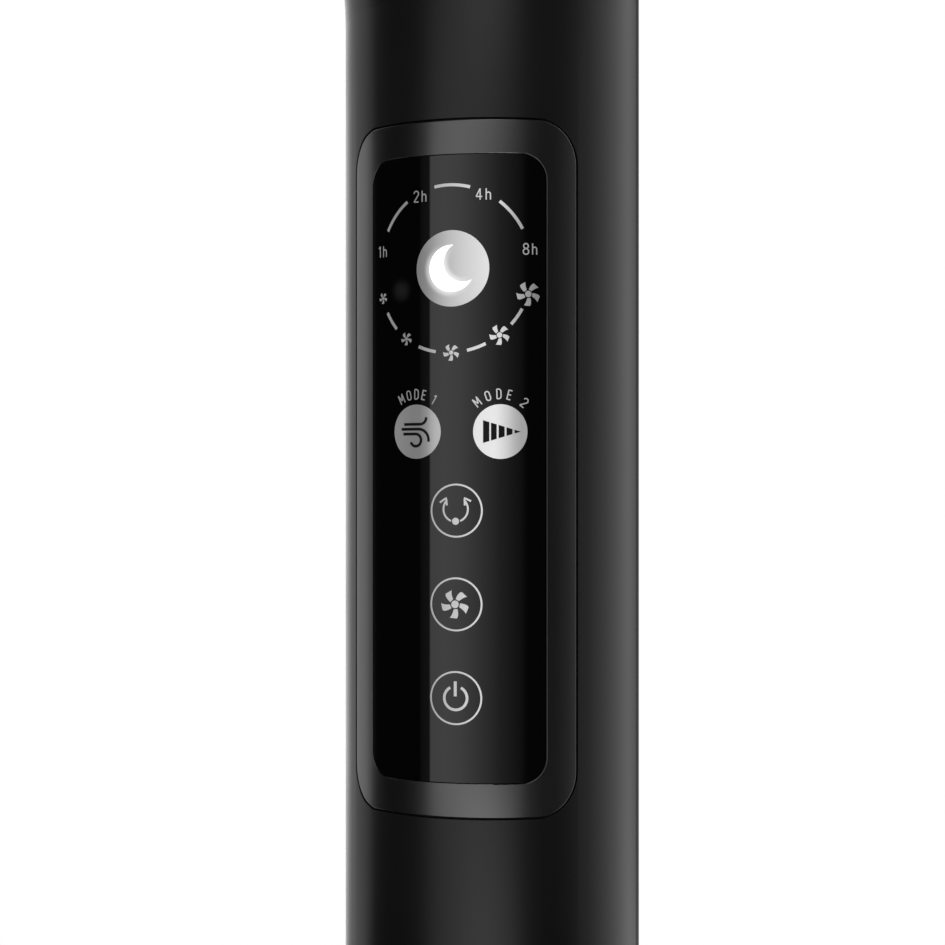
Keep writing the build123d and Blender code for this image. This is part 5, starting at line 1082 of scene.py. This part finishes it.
def screen_finish(name, levels):
    """A glow that changes round the column."""
    finish, tree, surface = empty_material(name)
    share = sum_of(tree, "MULTIPLY_ADD", turn_of(tree, own_position(tree)), 1 / (2 * pi), 0.5)
    glow = put(tree, "ShaderNodeEmission", Strength=1.0)
    stops = [((angle + 180) / 360, level) for angle, level in levels]
    tree.links.new(grey_ramp(tree, share, stops), glow.inputs["Color"])
    tree.links.new(glow.outputs[0], surface)
    return finish


def black_card():
    """A black that mirrors nothing."""
    finish = bpy.data.materials.new("black_card")
    finish.use_nodes = True
    shader = finish.node_tree.nodes["Principled BSDF"]
    shader.inputs["Base Color"].default_value = (0.0, 0.0, 0.0, 1.0)
    shader.inputs["Specular IOR Level"].default_value = 0.0
    return finish


def only_in_reflections(piece):
    """Leaves a piece of the studio out of the view, the diffuse light and the shadows."""
    piece.visible_camera = False
    piece.visible_diffuse = False
    piece.visible_shadow = False
    piece.visible_volume_scatter = False


SCREEN_SIDES = 180


def ring_points(radius, height):
    """The points of a ring about the column."""
    return [(*circle_point((0, 0), radius, 360 * k / SCREEN_SIDES), height) for k in range(SCREEN_SIDES)]


wall = [(k, k + SCREEN_SIDES, (k + 1) % SCREEN_SIDES + SCREEN_SIDES, (k + 1) % SCREEN_SIDES)
        for k in range(SCREEN_SIDES)]
low_glow = screen_finish("low_screen", SIDE_STOPS + LOW_FRONT + REAR_STOPS)
high_glow = screen_finish("high_screen", SIDE_STOPS + HIGH_FRONT + REAR_STOPS)
floor_glow = screen_finish("floor_screen", SIDE_STOPS + FLOOR_FRONT + REAR_STOPS)
floor_ring, split_ring, high_ring = [ring_points(SCREEN_RADIUS, height)
                                     for height in (0.0, SCREEN_SPLIT, SCREEN_HEIGHT)]
only_in_reflections(stage_mesh("low_screen", floor_ring + split_ring, wall, low_glow))
only_in_reflections(stage_mesh("high_screen", split_ring + high_ring, wall, high_glow))
only_in_reflections(stage_mesh("top_flag", high_ring, [tuple(range(SCREEN_SIDES))], black_card()))

# The floor's own screen lies just above it, from beside the base out to the wall.
FLOOR_SCREEN_INNER = 0.145
FLOOR_SCREEN_HEIGHT = 0.001
inner_ring = ring_points(FLOOR_SCREEN_INNER, FLOOR_SCREEN_HEIGHT)
outer_ring = ring_points(SCREEN_RADIUS, FLOOR_SCREEN_HEIGHT)
only_in_reflections(stage_mesh("floor_screen", inner_ring + outer_ring, wall, floor_glow))


def build_world():
    """Soft light all round, and a plain white background."""
    world = bpy.data.worlds.new("studio")
    bpy.context.scene.world = world
    world.use_nodes = True
    tree = world.node_tree
    tree.nodes.clear()
    soft = put(tree, "ShaderNodeBackground", Color=(1.0, 1.0, 1.0, 1.0), Strength=0.55)
    white = put(tree, "ShaderNodeBackground", Color=(1.0, 1.0, 1.0, 1.0), Strength=1.0)
    surface = put(tree, "ShaderNodeOutputWorld").inputs["Surface"]
    tree.links.new(mixed_shader(tree, seen_white(tree), soft, white), surface)


build_world()

LAMP_TARGET = Vector((0.0, 0.0, 0.4))


def soft_lamp(name, angle, distance, height, size, power):
    """A square lamp round the column that shows in no reflection."""
    data = bpy.data.lights.new(name, "AREA")
    data.shape = "SQUARE"
    data.size = size
    data.energy = power
    lamp = bpy.data.objects.new(name, data)
    bpy.context.scene.collection.objects.link(lamp)
    lamp.location = round_column(angle, distance, height)
    lamp.rotation_euler = looking_at(lamp.location, LAMP_TARGET)
    lamp.visible_glossy = False


soft_lamp("key_lamp", angle=-25.0, distance=2.4, height=1.9, size=1.4, power=26.0)
soft_lamp("fill_lamp", angle=60.0, distance=2.6, height=1.3, size=1.8, power=12.0)

bpy.context.scene.view_settings.view_transform = "Standard"
